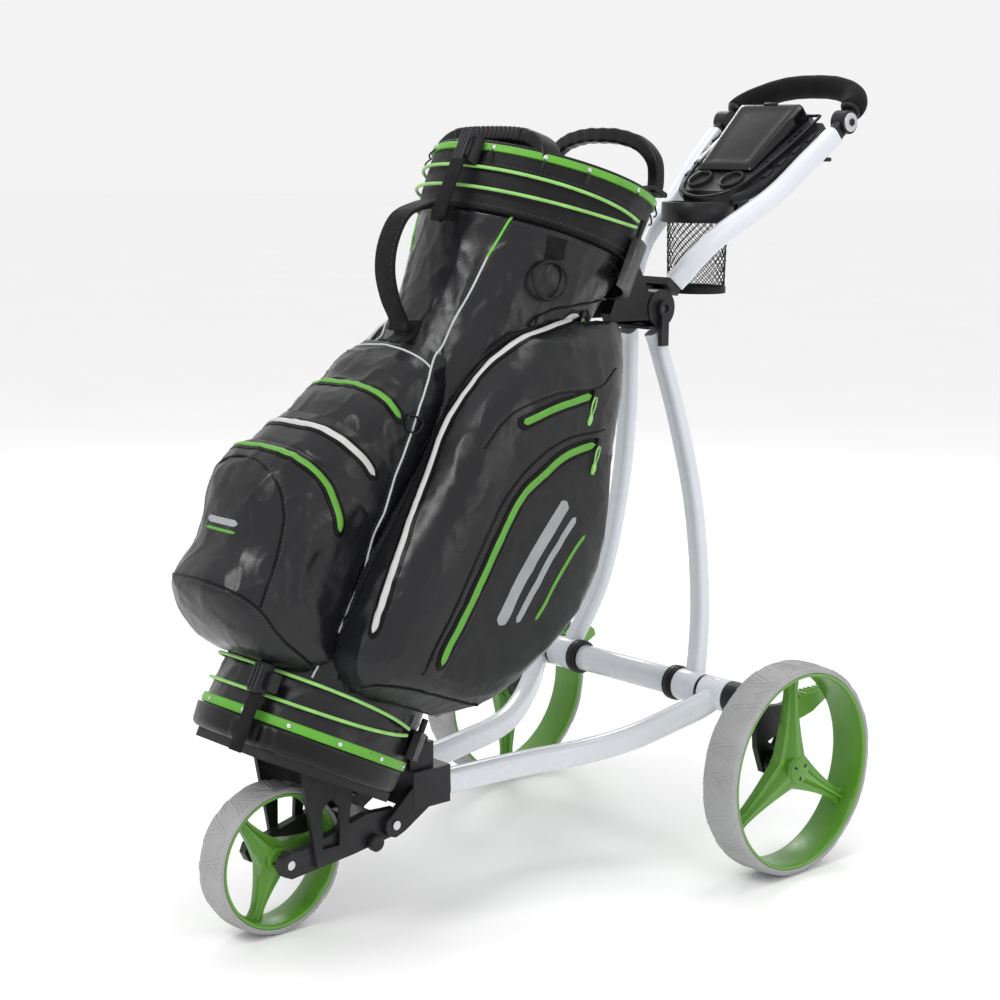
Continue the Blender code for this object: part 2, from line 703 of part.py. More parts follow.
def bag_body():
    shell = loft("bag_shell", grown(SHELL_SECTIONS, 0), NYLON, BAG)
    inside = [(0.062, 0.122, 0.123, 0.006, 0.0), *SHELL_SECTIONS[1:], (0.90, 0.134, 0.146, 0.067, 0.14)]
    cut(shell, loft("shell_inside", grown(inside, -SHELL_WALL), NYLON, BAG))

    cuff = loft("cuff", grown(CUFF_SECTIONS, 0), BLACK, BAG)
    hollow = [(0.60, 0.134, 0.146, 0.067, 0.14), (0.95, 0.134, 0.146, 0.067, 0.14)]
    cut(cuff, loft("cuff_inside", grown(hollow, -SHELL_WALL), BLACK, BAG))

    band = [(z, 0.1436, 0.1546, 0.067, RIM_SLOPE) for z in (0.808, 0.820)]
    inner = [(z, 0.1436, 0.1546, 0.067, RIM_SLOPE) for z in (0.70, 0.90)]
    ring = loft("rim_band", grown(band, 0.0022), BAND, BAG)
    cut(ring, loft("rim_band_inside", grown(inner, 0), BAND, BAG))
    return cuff


def top_divider():
    """Bars across the mouth that part the clubs."""
    bars = [box("top_divider", (-0.2, 0.030, 0.74), (0.2, 0.038, 0.90), BLACK, BAG)]
    bars.append(box("bar_rear", (-0.2, 0.108, 0.74), (0.2, 0.116, 0.90), BLACK, BAG))
    bars.append(box("bar_long", (-0.004, -0.2, 0.74), (0.004, 0.3, 0.90), BLACK, BAG))
    join(bars[0], *bars[1:])
    mouth = [(0.792, 0.134, 0.146, 0.067, RIM_SLOPE), (0.822, 0.134, 0.146, 0.067, RIM_SLOPE)]
    combine(bars[0], [loft("mouth", grown(mouth, -SHELL_WALL - 0.0004), BLACK, BAG)], "INTERSECT")


def base_foot():
    foot = [(0.0, 0.127, 0.127, 0.0, 0.0), (0.005, 0.134, 0.134, 0.0, 0.0), (0.030, 0.136, 0.136, 0.0, 0.0)]
    loft("base_foot", grown(foot, 0), BLACK, BAG)
    band = [(0.0306, 0.132, 0.132, 0.0037, 0.0), (0.043, 0.132, 0.132, 0.0037, 0.0)]
    inner = [(0.0, 0.132, 0.132, 0.0037, 0.0), (0.1, 0.132, 0.132, 0.0037, 0.0)]
    ring = loft("base_band", grown(band, 0.0022), BAND, BAG)
    cut(ring, loft("base_band_inside", grown(inner, 0), BAND, BAG))


def pocket(name, rings):
    """A soft pocket sewn to the shell: its back follows the shell with a hair's gap."""
    made = loft(name, rings, NYLON, BAG)
    around = [(-0.05, *SHELL_SECTIONS[0][1:]), *SHELL_SECTIONS, (0.85, *SHELL_SECTIONS[-1][1:])]
    cut(made, loft(f"{name}_back", grown(around, GAP), NYLON, BAG))
    return made


def pocket_ring(z, half_x, half_y, x, y, slope=0.0, power=3.0, count=20):
    return [p + Vector((x, 0, 0)) for p in oval(z, half_x, half_y, y, slope, power, count)]


def pockets():
    # Front stack: ball pocket below, then two shallower ones stepping back up the bag
    ball = [
        pocket_ring(0.100, 0.078, 0.055, 0, -0.100),
        pocket_ring(0.128, 0.094, 0.108, 0, -0.105),
        pocket_ring(0.152, 0.097, 0.131, 0, -0.105, -0.03),
        pocket_ring(0.205, 0.098, 0.126, 0, -0.102, -0.08),
        pocket_ring(0.262, 0.098, 0.136, 0, -0.100, -0.18),
        pocket_ring(0.292, 0.097, 0.122, 0, -0.098, -0.30),
        pocket_ring(0.305, 0.094, 0.100, 0, -0.095, -0.40),
    ]
    pocket("ball_pocket", ball)
    middle = [
        pocket_ring(0.308, 0.097, 0.104, 0, -0.092, -0.40),
        pocket_ring(0.335, 0.096, 0.096, 0, -0.085, -0.42),
        pocket_ring(0.362, 0.093, 0.086, 0, -0.078, -0.42),
    ]
    pocket("middle_front_pocket", middle)
    upper = [
        pocket_ring(0.366, 0.093, 0.088, 0, -0.074, -0.42),
        pocket_ring(0.400, 0.093, 0.080, 0, -0.066, -0.40),
        pocket_ring(0.445, 0.090, 0.062, 0, -0.058, -0.30),
        pocket_ring(0.490, 0.084, 0.056, 0, -0.052, -0.10),
        pocket_ring(0.530, 0.070, 0.036, 0, -0.050),
    ]
    pocket("upper_front_pocket", upper)
    for word, side in SIDES:
        rings = [
            pocket_ring(0.104, 0.040, 0.080, side * 0.098, 0.028, 0.06),
            pocket_ring(0.140, 0.062, 0.112, side * 0.116, 0.036, 0.06),
            pocket_ring(0.195, 0.068, 0.135, side * 0.120, 0.055, 0.07),
            pocket_ring(0.250, 0.072, 0.153, side * 0.122, 0.071, 0.08),
            pocket_ring(0.310, 0.073, 0.159, side * 0.122, 0.085, 0.09),
            pocket_ring(0.400, 0.074, 0.147, side * 0.120, 0.091, 0.1),
            pocket_ring(0.470, 0.072, 0.130, side * 0.116, 0.085, 0.12),
            pocket_ring(0.540, 0.070, 0.112, side * 0.112, 0.086, 0.15),
            pocket_ring(0.605, 0.056, 0.091, side * 0.098, 0.095, 0.25),
            pocket_ring(0.632, 0.036, 0.070, side * 0.090, 0.100, 0.30),
        ]
        made = pocket(f"side_pocket_{word}", rings)
        cut(made, box(f"front_room_{word}", (-0.0986, -0.30, 0.0), (0.0986, 0.005, 0.60), NYLON, BAG))


def bag_handles(cuff):
    half = [(0.100, 0.169, 0.8545), (0.100, 0.163, 0.874), (0.096, 0.152, 0.896), (0.072, 0.143, 0.914),
            (0.035, 0.137, 0.922)]
    rear = [(-x, y, z) for x, y, z in half] + [(0, 0.135, 0.923)] + half[::-1]
    swept("rear_carry_handle", rear, 0.016, 0.020, 0.005, BLACK, BAG, 0.03)
    grip_bar = swept(
        "front_carry_grip",
        [(-0.100, -0.024, 0.806), (-0.090, -0.028, 0.824), (-0.062, -0.032, 0.835), (0, -0.032, 0.838),
         (0.062, -0.032, 0.835), (0.090, -0.028, 0.824), (0.100, -0.024, 0.806)],
        0.026, 0.018, 0.006, BLACK, BAG, 0.03,
    )
    join(cuff, grip_bar)
    strap = [(0, -0.0865, 0.722), (0, -0.112, 0.706), (0, -0.139, 0.678), (0, -0.142, 0.640), (0, -0.130, 0.605),
             (0, -0.106, 0.577), (0, -0.0785, 0.558), (0, -0.0760, 0.546)]
    swept("lift_strap", strap, 0.034, 0.004, 0.0015, WEBBING, BAG, 0.03)


def towel_ring():
    centre, radius, turn = Vector((0.1250, 0.025, 0.668)), 0.024, math.radians(15.3)
    along = Vector((math.sin(turn), math.cos(turn), 0))
    points = [
        centre + radius * (math.cos(a) * along + math.sin(a) * Vector((0, 0, 1)))
        for a in np.linspace(0, 2 * math.pi, 21)[:-1]
    ]
    obj = curve("towel_ring", points, BLACK, BAG, True)
    obj.data.bevel_depth = 0.0025
    obj.data.bevel_resolution = 2


def doubled_cord(name, low, high, half_x, half_y, middle, slope, reach):
    """An endless cord doubled round the front of the bag, drawn together at a hook on each side."""
    points = []
    for level, way in ((high, 1), (low, -1)):
        for turn in np.linspace(-way * reach, way * reach, 29):
            a = math.radians(turn - 90)
            pinch = (abs(turn) / reach) ** 4
            z = level + ((low + high) / 2 + way * 0.004 - level) * pinch
            points.append((half_x * math.cos(a), middle + half_y * math.sin(a), z + slope * half_y * math.sin(a)))
    obj = curve(name, points, CORD, BAG, True)
    obj.data.bevel_depth = 0.0022
    obj.data.bevel_resolution = 1


def bungees():
    doubled_cord("upper_bungee", 0.768, 0.795, 0.1475, 0.1585, 0.067, 0.16, 110)
    doubled_cord("lower_bungee", 0.062, 0.094, 0.1350, 0.1360, 0.007, 0.0, 110)


rear_wheels()
front_wheel()
crossbar()
lower_tubes()
wheel_arms()
brake_pedals()
front_assembly()
tray_and_cradle()
uprights()
upper_hinge()
hinge_lever()
handle_tubes()
console()
grip()
CUFF = bag_body()
top_divider()
base_foot()
pockets()
bag_handles(CUFF)
towel_ring()
bungees()
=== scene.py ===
"""The looks of a golf bag standing on a three-wheeled push cart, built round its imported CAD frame."""

import math

import bmesh
import bpy
import numpy as np
from mathutils import Matrix, Vector, noise
from mathutils.bvhtree import BVHTree


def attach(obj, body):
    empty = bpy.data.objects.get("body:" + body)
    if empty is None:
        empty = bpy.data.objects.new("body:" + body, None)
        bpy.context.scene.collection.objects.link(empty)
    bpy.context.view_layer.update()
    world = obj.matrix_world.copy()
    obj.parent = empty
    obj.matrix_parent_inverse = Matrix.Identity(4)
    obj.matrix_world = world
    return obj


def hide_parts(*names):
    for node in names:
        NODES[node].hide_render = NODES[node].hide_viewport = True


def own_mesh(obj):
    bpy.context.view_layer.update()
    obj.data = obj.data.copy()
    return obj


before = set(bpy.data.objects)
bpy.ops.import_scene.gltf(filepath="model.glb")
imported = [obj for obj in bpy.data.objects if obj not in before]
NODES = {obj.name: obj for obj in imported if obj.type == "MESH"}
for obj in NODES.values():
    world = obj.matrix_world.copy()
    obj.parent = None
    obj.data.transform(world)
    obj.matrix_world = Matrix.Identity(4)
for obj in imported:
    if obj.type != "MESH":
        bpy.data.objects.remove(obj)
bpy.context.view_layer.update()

# Places that the CAD source and this script share, in metres
SHIFT = 0.20125
CART = Matrix.Translation((0, SHIFT, 0))
LEAN = math.radians(-26)  # the bag leans back on the cart
BAG = Matrix.Translation((0, SHIFT - 0.624, 0.216)) @ Matrix.Rotation(LEAN, 4, "X")
CONSOLE_TILT = math.radians(34)
LID_TILT = math.radians(8)  # over the console
CONSOLE = Matrix.Translation((0, SHIFT + 0.090, 0.879)) @ Matrix.Rotation(CONSOLE_TILT, 4, "X")
REAR_HUB = Vector((0.2817, 0, 0.145))
FRONT_HUB = Vector((0, -0.6566, 0.0953))
CROSSBAR = Vector((0, -0.024, 0.230))
SIDES = (("left", 1), ("right", -1))
# Sections of the bag: height, half width, half depth, middle and slope
SHELL = (
    (0.0303, 0.131, 0.131, 0.003, 0.0), (0.110, 0.130, 0.131, 0.010, 0.0), (0.350, 0.120, 0.124, 0.033, 0.03),
    (0.590, 0.116, 0.122, 0.056, 0.09), (0.690, 0.126, 0.136, 0.064, 0.12),
    (0.738, 0.134, 0.146, 0.067, 0.14),
)


# Camera, floor and light


def camera():
    turn, rise, roll = math.radians(47.53), math.radians(9.88), math.radians(0.61)
    ahead = Vector((-math.cos(rise) * math.sin(turn), math.cos(rise) * math.cos(turn), -math.sin(rise)))
    right = Vector((math.cos(turn), math.sin(turn), 0))
    up = right.cross(ahead)
    across = math.cos(roll) * right + math.sin(roll) * up
    up = -math.sin(roll) * right + math.cos(roll) * up
    data = bpy.data.cameras.new("camera")
    data.lens = 73.0
    data.sensor_width = 36.0
    data.clip_end = 40
    obj = bpy.data.objects.new("camera", data)
    obj.matrix_world = Matrix.Translation((1.969, SHIFT - 2.079, 0.970)) @ Matrix((
        across, up, -ahead,
    )).transposed().to_4x4()
    bpy.context.scene.collection.objects.link(obj)
    bpy.context.scene.camera = obj


def light(name, place, aim, size, power):
    data = bpy.data.lights.new(name, "AREA")
    data.shape = "DISK"
    data.size = size
    data.energy = power
    obj = bpy.data.objects.new(name, data)
    obj.location = place
    obj.rotation_euler = (Vector(aim) - Vector(place)).to_track_quat("-Z", "Y").to_euler()
    bpy.context.scene.collection.objects.link(obj)


def studio():
    world = bpy.data.worlds.new("studio")
    world.use_nodes = True
    back = world.node_tree.nodes["Background"]
    back.inputs["Color"].default_value = (1, 1, 1, 1)
    back.inputs["Strength"].default_value = 0.90
    bpy.context.scene.world = world
    bpy.context.scene.view_settings.view_transform = "Standard"
    light("key", (0.4, -2.6, 3.0), (0, 0, 0.5), 1.1, 40)
    light("fill", (3.2, 0.6, 1.4), (0, 0, 0.5), 1.2, 8)
    light("rim", (-2.4, 1.8, 2.4), (0, 0, 0.6), 1.0, 20)
    light("top", (0.2, 0.6, 3.6), (0, 0, 0.5), 1.3, 18)


# Materials: each is one shader whose colour, roughness and bump come from noise in object space


class Finish:
    """Builds one procedural material, node by node."""

    def __init__(self, name, colour, roughness, metallic=0.0, coat=0.0, sheen=0.0, specular=0.5):
        self.material = bpy.data.materials.new(name)
        self.material.use_nodes = True
        self.nodes, self.links = self.material.node_tree.nodes, self.material.node_tree.links
        self.shader = self.nodes["Principled BSDF"]
        self.shader.inputs["Metallic"].default_value = metallic
        self.shader.inputs["Coat Weight"].default_value = coat
        self.shader.inputs["Coat Roughness"].default_value = 0.12
        self.shader.inputs["Sheen Weight"].default_value = sheen
        self.shader.inputs["Sheen Roughness"].default_value = 0.4
        self.shader.inputs["Specular IOR Level"].default_value = specular
        self.where = self.nodes.new("ShaderNodeTexCoord").outputs["Object"]
        self.height = None
        self.colour, self.roughness = colour, roughness

    def noise(self, scale, detail=4.0, stretch=None, distort=0.0):
        texture = self.nodes.new("ShaderNodeTexNoise")
        texture.inputs["Scale"].default_value = scale
        texture.inputs["Detail"].default_value = detail
        texture.inputs["Distortion"].default_value = distort
        self.links.new(self.place(stretch), texture.inputs["Vector"])
        return texture.outputs["Fac"]

    def place(self, stretch=None, turn=(0, 0, 0)):
        if not stretch and not any(turn):
            return self.where
        mapping = self.nodes.new("ShaderNodeMapping")
        mapping.inputs["Scale"].default_value = stretch or (1, 1, 1)
        mapping.inputs["Rotation"].default_value = turn
        self.links.new(self.where, mapping.inputs["Vector"])
        return mapping.outputs["Vector"]

    def span(self, value, low, high, start=0.3, end=0.7):
        step = self.nodes.new("ShaderNodeMapRange")
        for key, number in (("From Min", start), ("From Max", end), ("To Min", low), ("To Max", high)):
            step.inputs[key].default_value = number
        self.links.new(value, step.inputs["Value"])
        return step.outputs["Result"]

    def mix(self, factor, low, high):
        step = self.nodes.new("ShaderNodeMix")
        step.data_type = "RGBA"
        self.links.new(factor, step.inputs["Factor"])
        for key, value in (("A", low), ("B", high)):
            socket = next(s for s in step.inputs if s.name == key and s.type == "RGBA")
            if isinstance(value, tuple):
                socket.default_value = (*value, 1)
            else:
                self.links.new(value, socket)
        return next(s for s in step.outputs if s.type == "RGBA")

    def mottle(self, scale, amount, rough=0.08, stretch=None):
        """Slow changes of tone and gloss over the surface."""
        cloud = self.noise(scale, 5.0, stretch)
        low = tuple(c * (1 - amount) for c in self.colour)
        high = tuple(min(1, c * (1 + amount)) for c in self.colour)
        self.tone = self.mix(self.span(cloud, 0, 1), low, high)
        self.links.new(self.tone, self.shader.inputs["Base Color"])
        fine = self.noise(scale * 7, 3.0)
        self.links.new(
            self.span(fine, max(0.03, self.roughness - rough), min(1, self.roughness + rough)),
            self.shader.inputs["Roughness"],
        )
        return self

    def bump(self, value, distance):
        step = self.nodes.new("ShaderNodeBump")
        step.inputs["Distance"].default_value = distance
        step.inputs["Strength"].default_value = 1.0
        self.links.new(value, step.inputs["Height"])
        if self.height:
            self.links.new(self.height, step.inputs["Normal"])
        self.height = step.outputs["Normal"]
        self.links.new(self.height, self.shader.inputs["Normal"])
        return self

    def grain(self, scale, distance, detail=3.0, stretch=None):
        return self.bump(self.noise(scale, detail, stretch), distance)

    def creases(self, scale, distance):
        """Sharp slack creases that run along the bag."""
        mapping = self.nodes.new("ShaderNodeMapping")
        mapping.vector_type = "TEXTURE"
        mapping.inputs["Rotation"].default_value = (LEAN, 0, 0)
        mapping.inputs["Scale"].default_value = (1.0, 1.0, 2.6)
        self.links.new(self.where, mapping.inputs["Vector"])
        texture = self.nodes.new("ShaderNodeTexNoise")
        texture.noise_type = "RIDGED_MULTIFRACTAL"
        texture.inputs["Scale"].default_value = scale
        texture.inputs["Detail"].default_value = 2.0
        texture.inputs["Distortion"].default_value = 0.5
        self.links.new(mapping.outputs["Vector"], texture.inputs["Vector"])
        return self.bump(texture.outputs["Fac"], distance)

    def weave(self, pitch, distance, turn=(0, 0, 0)):
        """Warp and weft as two crossing wave patterns."""
        crossed = None
        for axis in ("X", "Z"):
            wave = self.nodes.new("ShaderNodeTexWave")
            wave.bands_direction = axis
            wave.inputs["Scale"].default_value = 0.314 / pitch
            wave.inputs["Distortion"].default_value = 0.6
            wave.inputs["Detail Scale"].default_value = 2.0
            self.links.new(self.place(None, turn), wave.inputs["Vector"])
            if crossed is None:
                crossed = wave.outputs["Fac"]
            else:
                both = self.nodes.new("ShaderNodeMath")
                both.operation = "MAXIMUM"
                self.links.new(crossed, both.inputs[0])
                self.links.new(wave.outputs["Fac"], both.inputs[1])
                crossed = both.outputs[0]
        return self.bump(crossed, distance)

    def across(self, pitch, distance, groove_shade=0.55):
        """Ribs across a ribbon or strap, spaced along its own length, with painted shade in the grooves between
        them.
        """
        wave = self.nodes.new("ShaderNodeTexWave")
        wave.bands_direction = "Y"
        wave.inputs["Scale"].default_value = 0.314 / pitch
        wave.inputs["Distortion"].default_value = 0.0
        uv = self.nodes.new("ShaderNodeUVMap")
        uv.uv_map = "run"
        self.links.new(uv.outputs["UV"], wave.inputs["Vector"])
        # painted shade: colour darkened where the ribs' bump is low
        dark = tuple(c * groove_shade for c in self.colour)
        tone = self.mix(wave.outputs["Fac"], dark, self.tone)
        self.links.new(tone, self.shader.inputs["Base Color"])
        return self.bump(wave.outputs["Fac"], distance)

    def painted_edge_highlight(self, lighter, amount=0.5):
        """Painted highlight: colour made lighter on sharply convex edges."""
        shape = self.nodes.new("ShaderNodeNewGeometry")
        # painted highlight mask: sharply convex places, found from pointiness
        edge = self.span(shape.outputs["Pointiness"], 0, amount, 0.52, 0.62)
        tone = self.mix(edge, self.tone, lighter)
        self.links.new(tone, self.shader.inputs["Base Color"])
        return self


def materials():
    made = {}
    nylon = Finish(
        "coated_nylon", (0.0075, 0.0078, 0.0092), 0.27, sheen=0.02, specular=0.36,
    ).mottle(6, 0.18, 0.05)
    nylon.creases(11, 0.0034).creases(31, 0.0009).grain(90, 0.0003, 3.0).weave(0.0011, 0.00004)
    made["nylon"] = nylon.material
    panel = Finish(
        "panel_nylon", (0.0095, 0.0098, 0.0110), 0.5, sheen=0.03, specular=0.3,
    ).mottle(8, 0.2, 0.07)
    made["panel"] = panel.grain(30, 0.0006).weave(0.0013, 0.00006).material
    trim = Finish("welded_trim", (0.0020, 0.0020, 0.0024), 0.38, specular=0.16).mottle(20, 0.2, 0.06)
    made["trim"] = trim.grain(420, 0.00005).material
    web = Finish("webbing", (0.0055, 0.0055, 0.0062), 0.75, sheen=0.03, specular=0.22).mottle(14, 0.2, 0.08)
    # painted shade in the grooves between the webbing's ribs
    made["webbing"] = web.across(0.0022, 0.00018).material
    cuff = Finish(
        "cuff_fabric", (0.0050, 0.0050, 0.0058), 0.55, sheen=0.02, specular=0.26,
    ).mottle(10, 0.2, 0.08)
    made["cuff"] = cuff.grain(28, 0.0007).weave(0.0016, 0.00015).material
    for key, colour in (("zip_green", (0.11, 0.38, 0.030)), ("zip_white", (0.60, 0.61, 0.59))):
        coil = Finish(key, colour, 0.45, specular=0.5).mottle(60, 0.10, 0.05)
        # painted shade in the gaps between the zip coil's teeth
        made[key] = coil.across(0.0016, 0.0002, 0.72).material
    pipe = Finish("white_piping", (0.50, 0.52, 0.52), 0.55).mottle(40, 0.12, 0.06)
    made["piping"] = pipe.grain(700, 0.00008).material
    pipe = Finish("green_piping", (0.14, 0.50, 0.05), 0.5).mottle(40, 0.12, 0.06)
    made["green_piping"] = pipe.grain(700, 0.00008).material
    band = Finish("green_band", (0.11, 0.40, 0.025), 0.5, sheen=0.1).mottle(30, 0.12, 0.06)
    # painted shade in the grooves between the green band's ribs
    made["band"] = band.across(0.0030, 0.00012, 0.82).material
    cord = Finish("green_cord", (0.26, 0.56, 0.14), 0.6, sheen=0.2).mottle(60, 0.14, 0.06)
    made["cord"] = cord.grain(900, 0.00018, 1.0, (1, 1, 0.35)).material
    plastic = Finish("black_plastic", (0.0042, 0.0042, 0.0048), 0.38, specular=0.26).mottle(16, 0.22, 0.07)
    plastic.grain(850, 0.00006, 2.0).grain(60, 0.00025)
    # painted highlight: the black plastic's convex edges are lightened to grey
    made["plastic"] = plastic.painted_edge_highlight((0.045, 0.045, 0.050)).material
    gloss = Finish(
        "gloss_plastic", (0.0030, 0.0032, 0.0040), 0.24, coat=0.12, specular=0.30,
    ).mottle(12, 0.2, 0.04)
    made["gloss"] = gloss.grain(90, 0.00008).material
    foam = Finish("foam", (0.0050, 0.0050, 0.0055), 0.85, sheen=0.02, specular=0.18).mottle(30, 0.25, 0.05)
    made["foam"] = foam.grain(1400, 0.00022, 2.0).grain(120, 0.0004).material
    paint = Finish("white_paint", (0.70, 0.725, 0.77), 0.26, coat=0.5, specular=0.5).mottle(5, 0.03, 0.05)
    made["paint"] = paint.grain(420, 0.00003, 2.0).grain(24, 0.00008).material
    rubber = Finish("grey_tyre", (0.33, 0.33, 0.335), 0.60, specular=0.35).mottle(22, 0.10, 0.08)
    # painted highlight: the tyre's convex edges and tread lines are lightened
    made["tyre"] = rubber.grain(700, 0.00010, 3.0).grain(60, 0.00022).painted_edge_highlight((0.46, 0.46, 0.46), 0.5).material
    rim = Finish("green_plastic", (0.085, 0.250, 0.018), 0.34, specular=0.5).mottle(14, 0.10, 0.06)
    # painted highlight: the rim's convex edges are lightened to a brighter green
    made["rim"] = rim.grain(600, 0.00005, 2.0).grain(40, 0.0002).painted_edge_highlight((0.22, 0.48, 0.10), 0.6).material
    steel = Finish("steel", (0.62, 0.62, 0.64), 0.28, metallic=1.0).mottle(50, 0.10, 0.07)
    made["steel"] = steel.grain(900, 0.00003, 2.0, (0.15, 1, 1)).material
    silver = Finish("silver_plastic", (0.58, 0.58, 0.60), 0.30, metallic=0.6).mottle(40, 0.10, 0.06)
    made["silver"] = silver.grain(700, 0.00004).material
    thread = Finish("thread", (0.035, 0.035, 0.038), 0.7, sheen=0.3).mottle(200, 0.2, 0.05)
    made["thread"] = thread.grain(2500, 0.0001).material
    lining = Finish("lining", (0.035, 0.035, 0.038), 0.8, sheen=0.3).mottle(12, 0.2, 0.06)
    made["lining"] = lining.grain(26, 0.0012).weave(0.0018, 0.00015).material
    net = Finish("net_cord", (0.006, 0.006, 0.0065), 0.6, sheen=0.04, specular=0.25).mottle(90, 0.2, 0.06)
    made["net"] = net.grain(1600, 0.00015).material
    grey = Finish("grey_print", (0.30, 0.31, 0.32), 0.5).mottle(40, 0.10, 0.06)
    made["grey"] = grey.grain(500, 0.00006).material
    floor = Finish("floor", (0.985, 0.985, 0.985), 0.75, specular=0.2).mottle(2.0, 0.01, 0.03)
    made["floor"] = floor.grain(120, 0.0001).material
    return made


M = materials()


# Meshes


def piece(name, verts, faces, finish, body, slot, matrix=CART, replaces=(), smooth=True, uvs=None):
    """A mesh made in a local frame, put in place, riding on a body."""
    mesh = bpy.data.meshes.new(name)
    mesh.from_pydata([tuple(v) for v in verts], [], [tuple(f) for f in faces])
    if uvs is not None:
        layer = mesh.uv_layers.new(name="run")
        for loop in mesh.loops:
            layer.data[loop.index].uv = uvs[loop.vertex_index]
    bm = bmesh.new()
    bm.from_mesh(mesh)
    bmesh.ops.recalc_face_normals(bm, faces=bm.faces)
    bm.to_mesh(mesh)
    bm.free()
    mesh.transform(matrix)
    if smooth:
        mesh.shade_smooth()
        mesh.set_sharp_from_angle(angle=math.radians(50))
    mesh.materials.append(M[finish])
    obj = bpy.data.objects.new(name, mesh)
    bpy.context.scene.collection.objects.link(obj)
    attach(obj, body)
    if replaces:
        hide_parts(*replaces)
    return obj


class Shape:
    """Collects several closed parts into one mesh."""

    def __init__(self):
        self.verts, self.faces, self.uvs = [], [], []

    def add(self, verts, faces, uvs=None, matrix=None):
        start = len(self.verts)
        self.verts += [matrix @ Vector(v) if matrix else Vector(v) for v in verts]
        self.faces += [tuple(start + k for k in f) for f in faces]
        self.uvs += list(uvs) if uvs is not None else [(0.0, 0.0)] * len(verts)
        return self

    def make(self, name, finish, body, slot, matrix=CART, **more):
        return piece(name, self.verts, self.faces, finish, body, slot, matrix, uvs=self.uvs, **more)

    def on_bag(self, name, finish, slot="black_webbing", **more):
        return self.make(name, finish, "bag", slot, BAG, **more)


def clamp(value):
    """Kept between 0 and 1."""
    return max(0.0, min(1.0, value))


def smooth_path(points, spacing, closed=False):
    """Points along a Catmull-Rom curve through the given ones, about one spacing apart."""
    points = [Vector(p) for p in points]
    if closed:
        padded = [points[-1], *points, points[0], points[1]]
    else:
        padded = [2 * points[0] - points[1], *points, 2 * points[-1] - points[-2]]
    out = [] if closed else [points[0]]
    for a, b, c, d in zip(padded, padded[1:], padded[2:], padded[3:]):
        count = max(1, round((c - b).length / spacing))
        for k in range(1, count + 1):
            t = k / count
            out.append(
                0.5 * (
                    2 * b + (c - a) * t + (2 * a - 5 * b + 4 * c - d) * t**2 + (3 * b - a - 3 * c + d) * t**3
                )
            )
    return out


def between(sections, z):
    """One section of a lofted body at height z, on smooth curves through the given sections."""
    rows = [np.array(s, float) for s in sections]
    for k in range(len(rows) - 1):
        if z <= rows[k + 1][0] or k == len(rows) - 2:
            break
    b, c = rows[k], rows[k + 1]
    a = rows[k - 1] if k else 2 * b - c
    d = rows[k + 2] if k + 2 < len(rows) else 2 * c - b
    t = min(1.0, max(0.0, (z - b[0]) / (c[0] - b[0])))
    low = (c - a) * (c[0] - b[0]) / (c[0] - a[0])
    high = (d - b) * (c[0] - b[0]) / (d[0] - b[0])
    row = (
        b * (2 * t**3 - 3 * t**2 + 1) + low * (t**3 - 2 * t**2 + t) + c * (3 * t**2 - 2 * t**3)
        + high * (t**3 - t**2)
    )
    row[0] = z
    return row


def grid_border(rows, cols):
    """Indices round the edge of a grid of points."""
    right = [j * cols + cols - 1 for j in range(1, rows)]
    far = [(rows - 1) * cols + k for k in range(cols - 2, -1, -1)]
    return [*range(cols), *right, *far, *[j * cols for j in range(rows - 2, 0, -1)]]


def oval(row, grow=0.0, power=2.0, count=120):
    """A closed section: a superellipse, tilted fore and aft by its slope."""
    z, half_x, half_y, middle, slope = row[:5]
    out = []
    for k in range(count):
        turn = 2 * math.pi * k / count
        c, s = math.cos(turn), math.sin(turn)
        px = (half_x + grow) * math.copysign(abs(c) ** (2 / power), c)
        py = (half_y + grow) * math.copysign(abs(s) ** (2 / power), s)
        out.append(Vector((px, middle + py, z + slope * py)))
    return out


def loft_faces(levels, count, closed=False, caps=True):
    faces = []
    last = levels if closed else levels - 1
    for row in range(last):
        low, high = row * count, ((row + 1) % levels) * count
        for k in range(count):
            n = (k + 1) % count
            faces.append((low + k, low + n, high + n, high + k))
    if caps and not closed:
        faces.append(tuple(range(count)))
        faces.append(tuple(range((levels - 1) * count, levels * count)))
    return faces


def tube(points, radius, sides=10, closed=False, taper=None):
    """A round tube along points, of one radius."""
    points = [Vector(p) for p in points]
    count = len(points)
    verts, uvs, run, side = [], [], 0.0, None
    for k, p in enumerate(points):
        before = points[k - 1] if closed or k else p
        after = points[(k + 1) % count] if closed or k < count - 1 else p
        along = (after - before).normalized()
        if side is None:
            side = along.cross(Vector((0, 0, 1)))
            if side.length < 0.1:
                side = along.cross(Vector((0, 1, 0)))
        side = (side - side.dot(along) * along).normalized()
        up = side.cross(along)
        size = radius if taper is None else radius * taper(k / max(1, count - 1))
        if k:
            run += (p - points[k - 1]).length
        for j in range(sides):
            a = 2 * math.pi * j / sides
            verts.append(p + size * (math.cos(a) * side + math.sin(a) * up))
            uvs.append((size * a, run))
    return verts, loft_faces(count, sides, closed), uvs


def block_section(width, height, corner, steps=5):
    """Rounded rectangle, as offsets across and up."""
    out = []
    for sx, sy, start in ((1, 1, 0), (-1, 1, 90), (-1, -1, 180), (1, -1, 270)):
        for k in range(steps + 1):
            a = math.radians(start + 90 * k / steps)
            out.append((
                sx * (width / 2 - corner) + corner * math.cos(a),
                sy * (height / 2 - corner) + corner * math.sin(a),
            ))
    return out


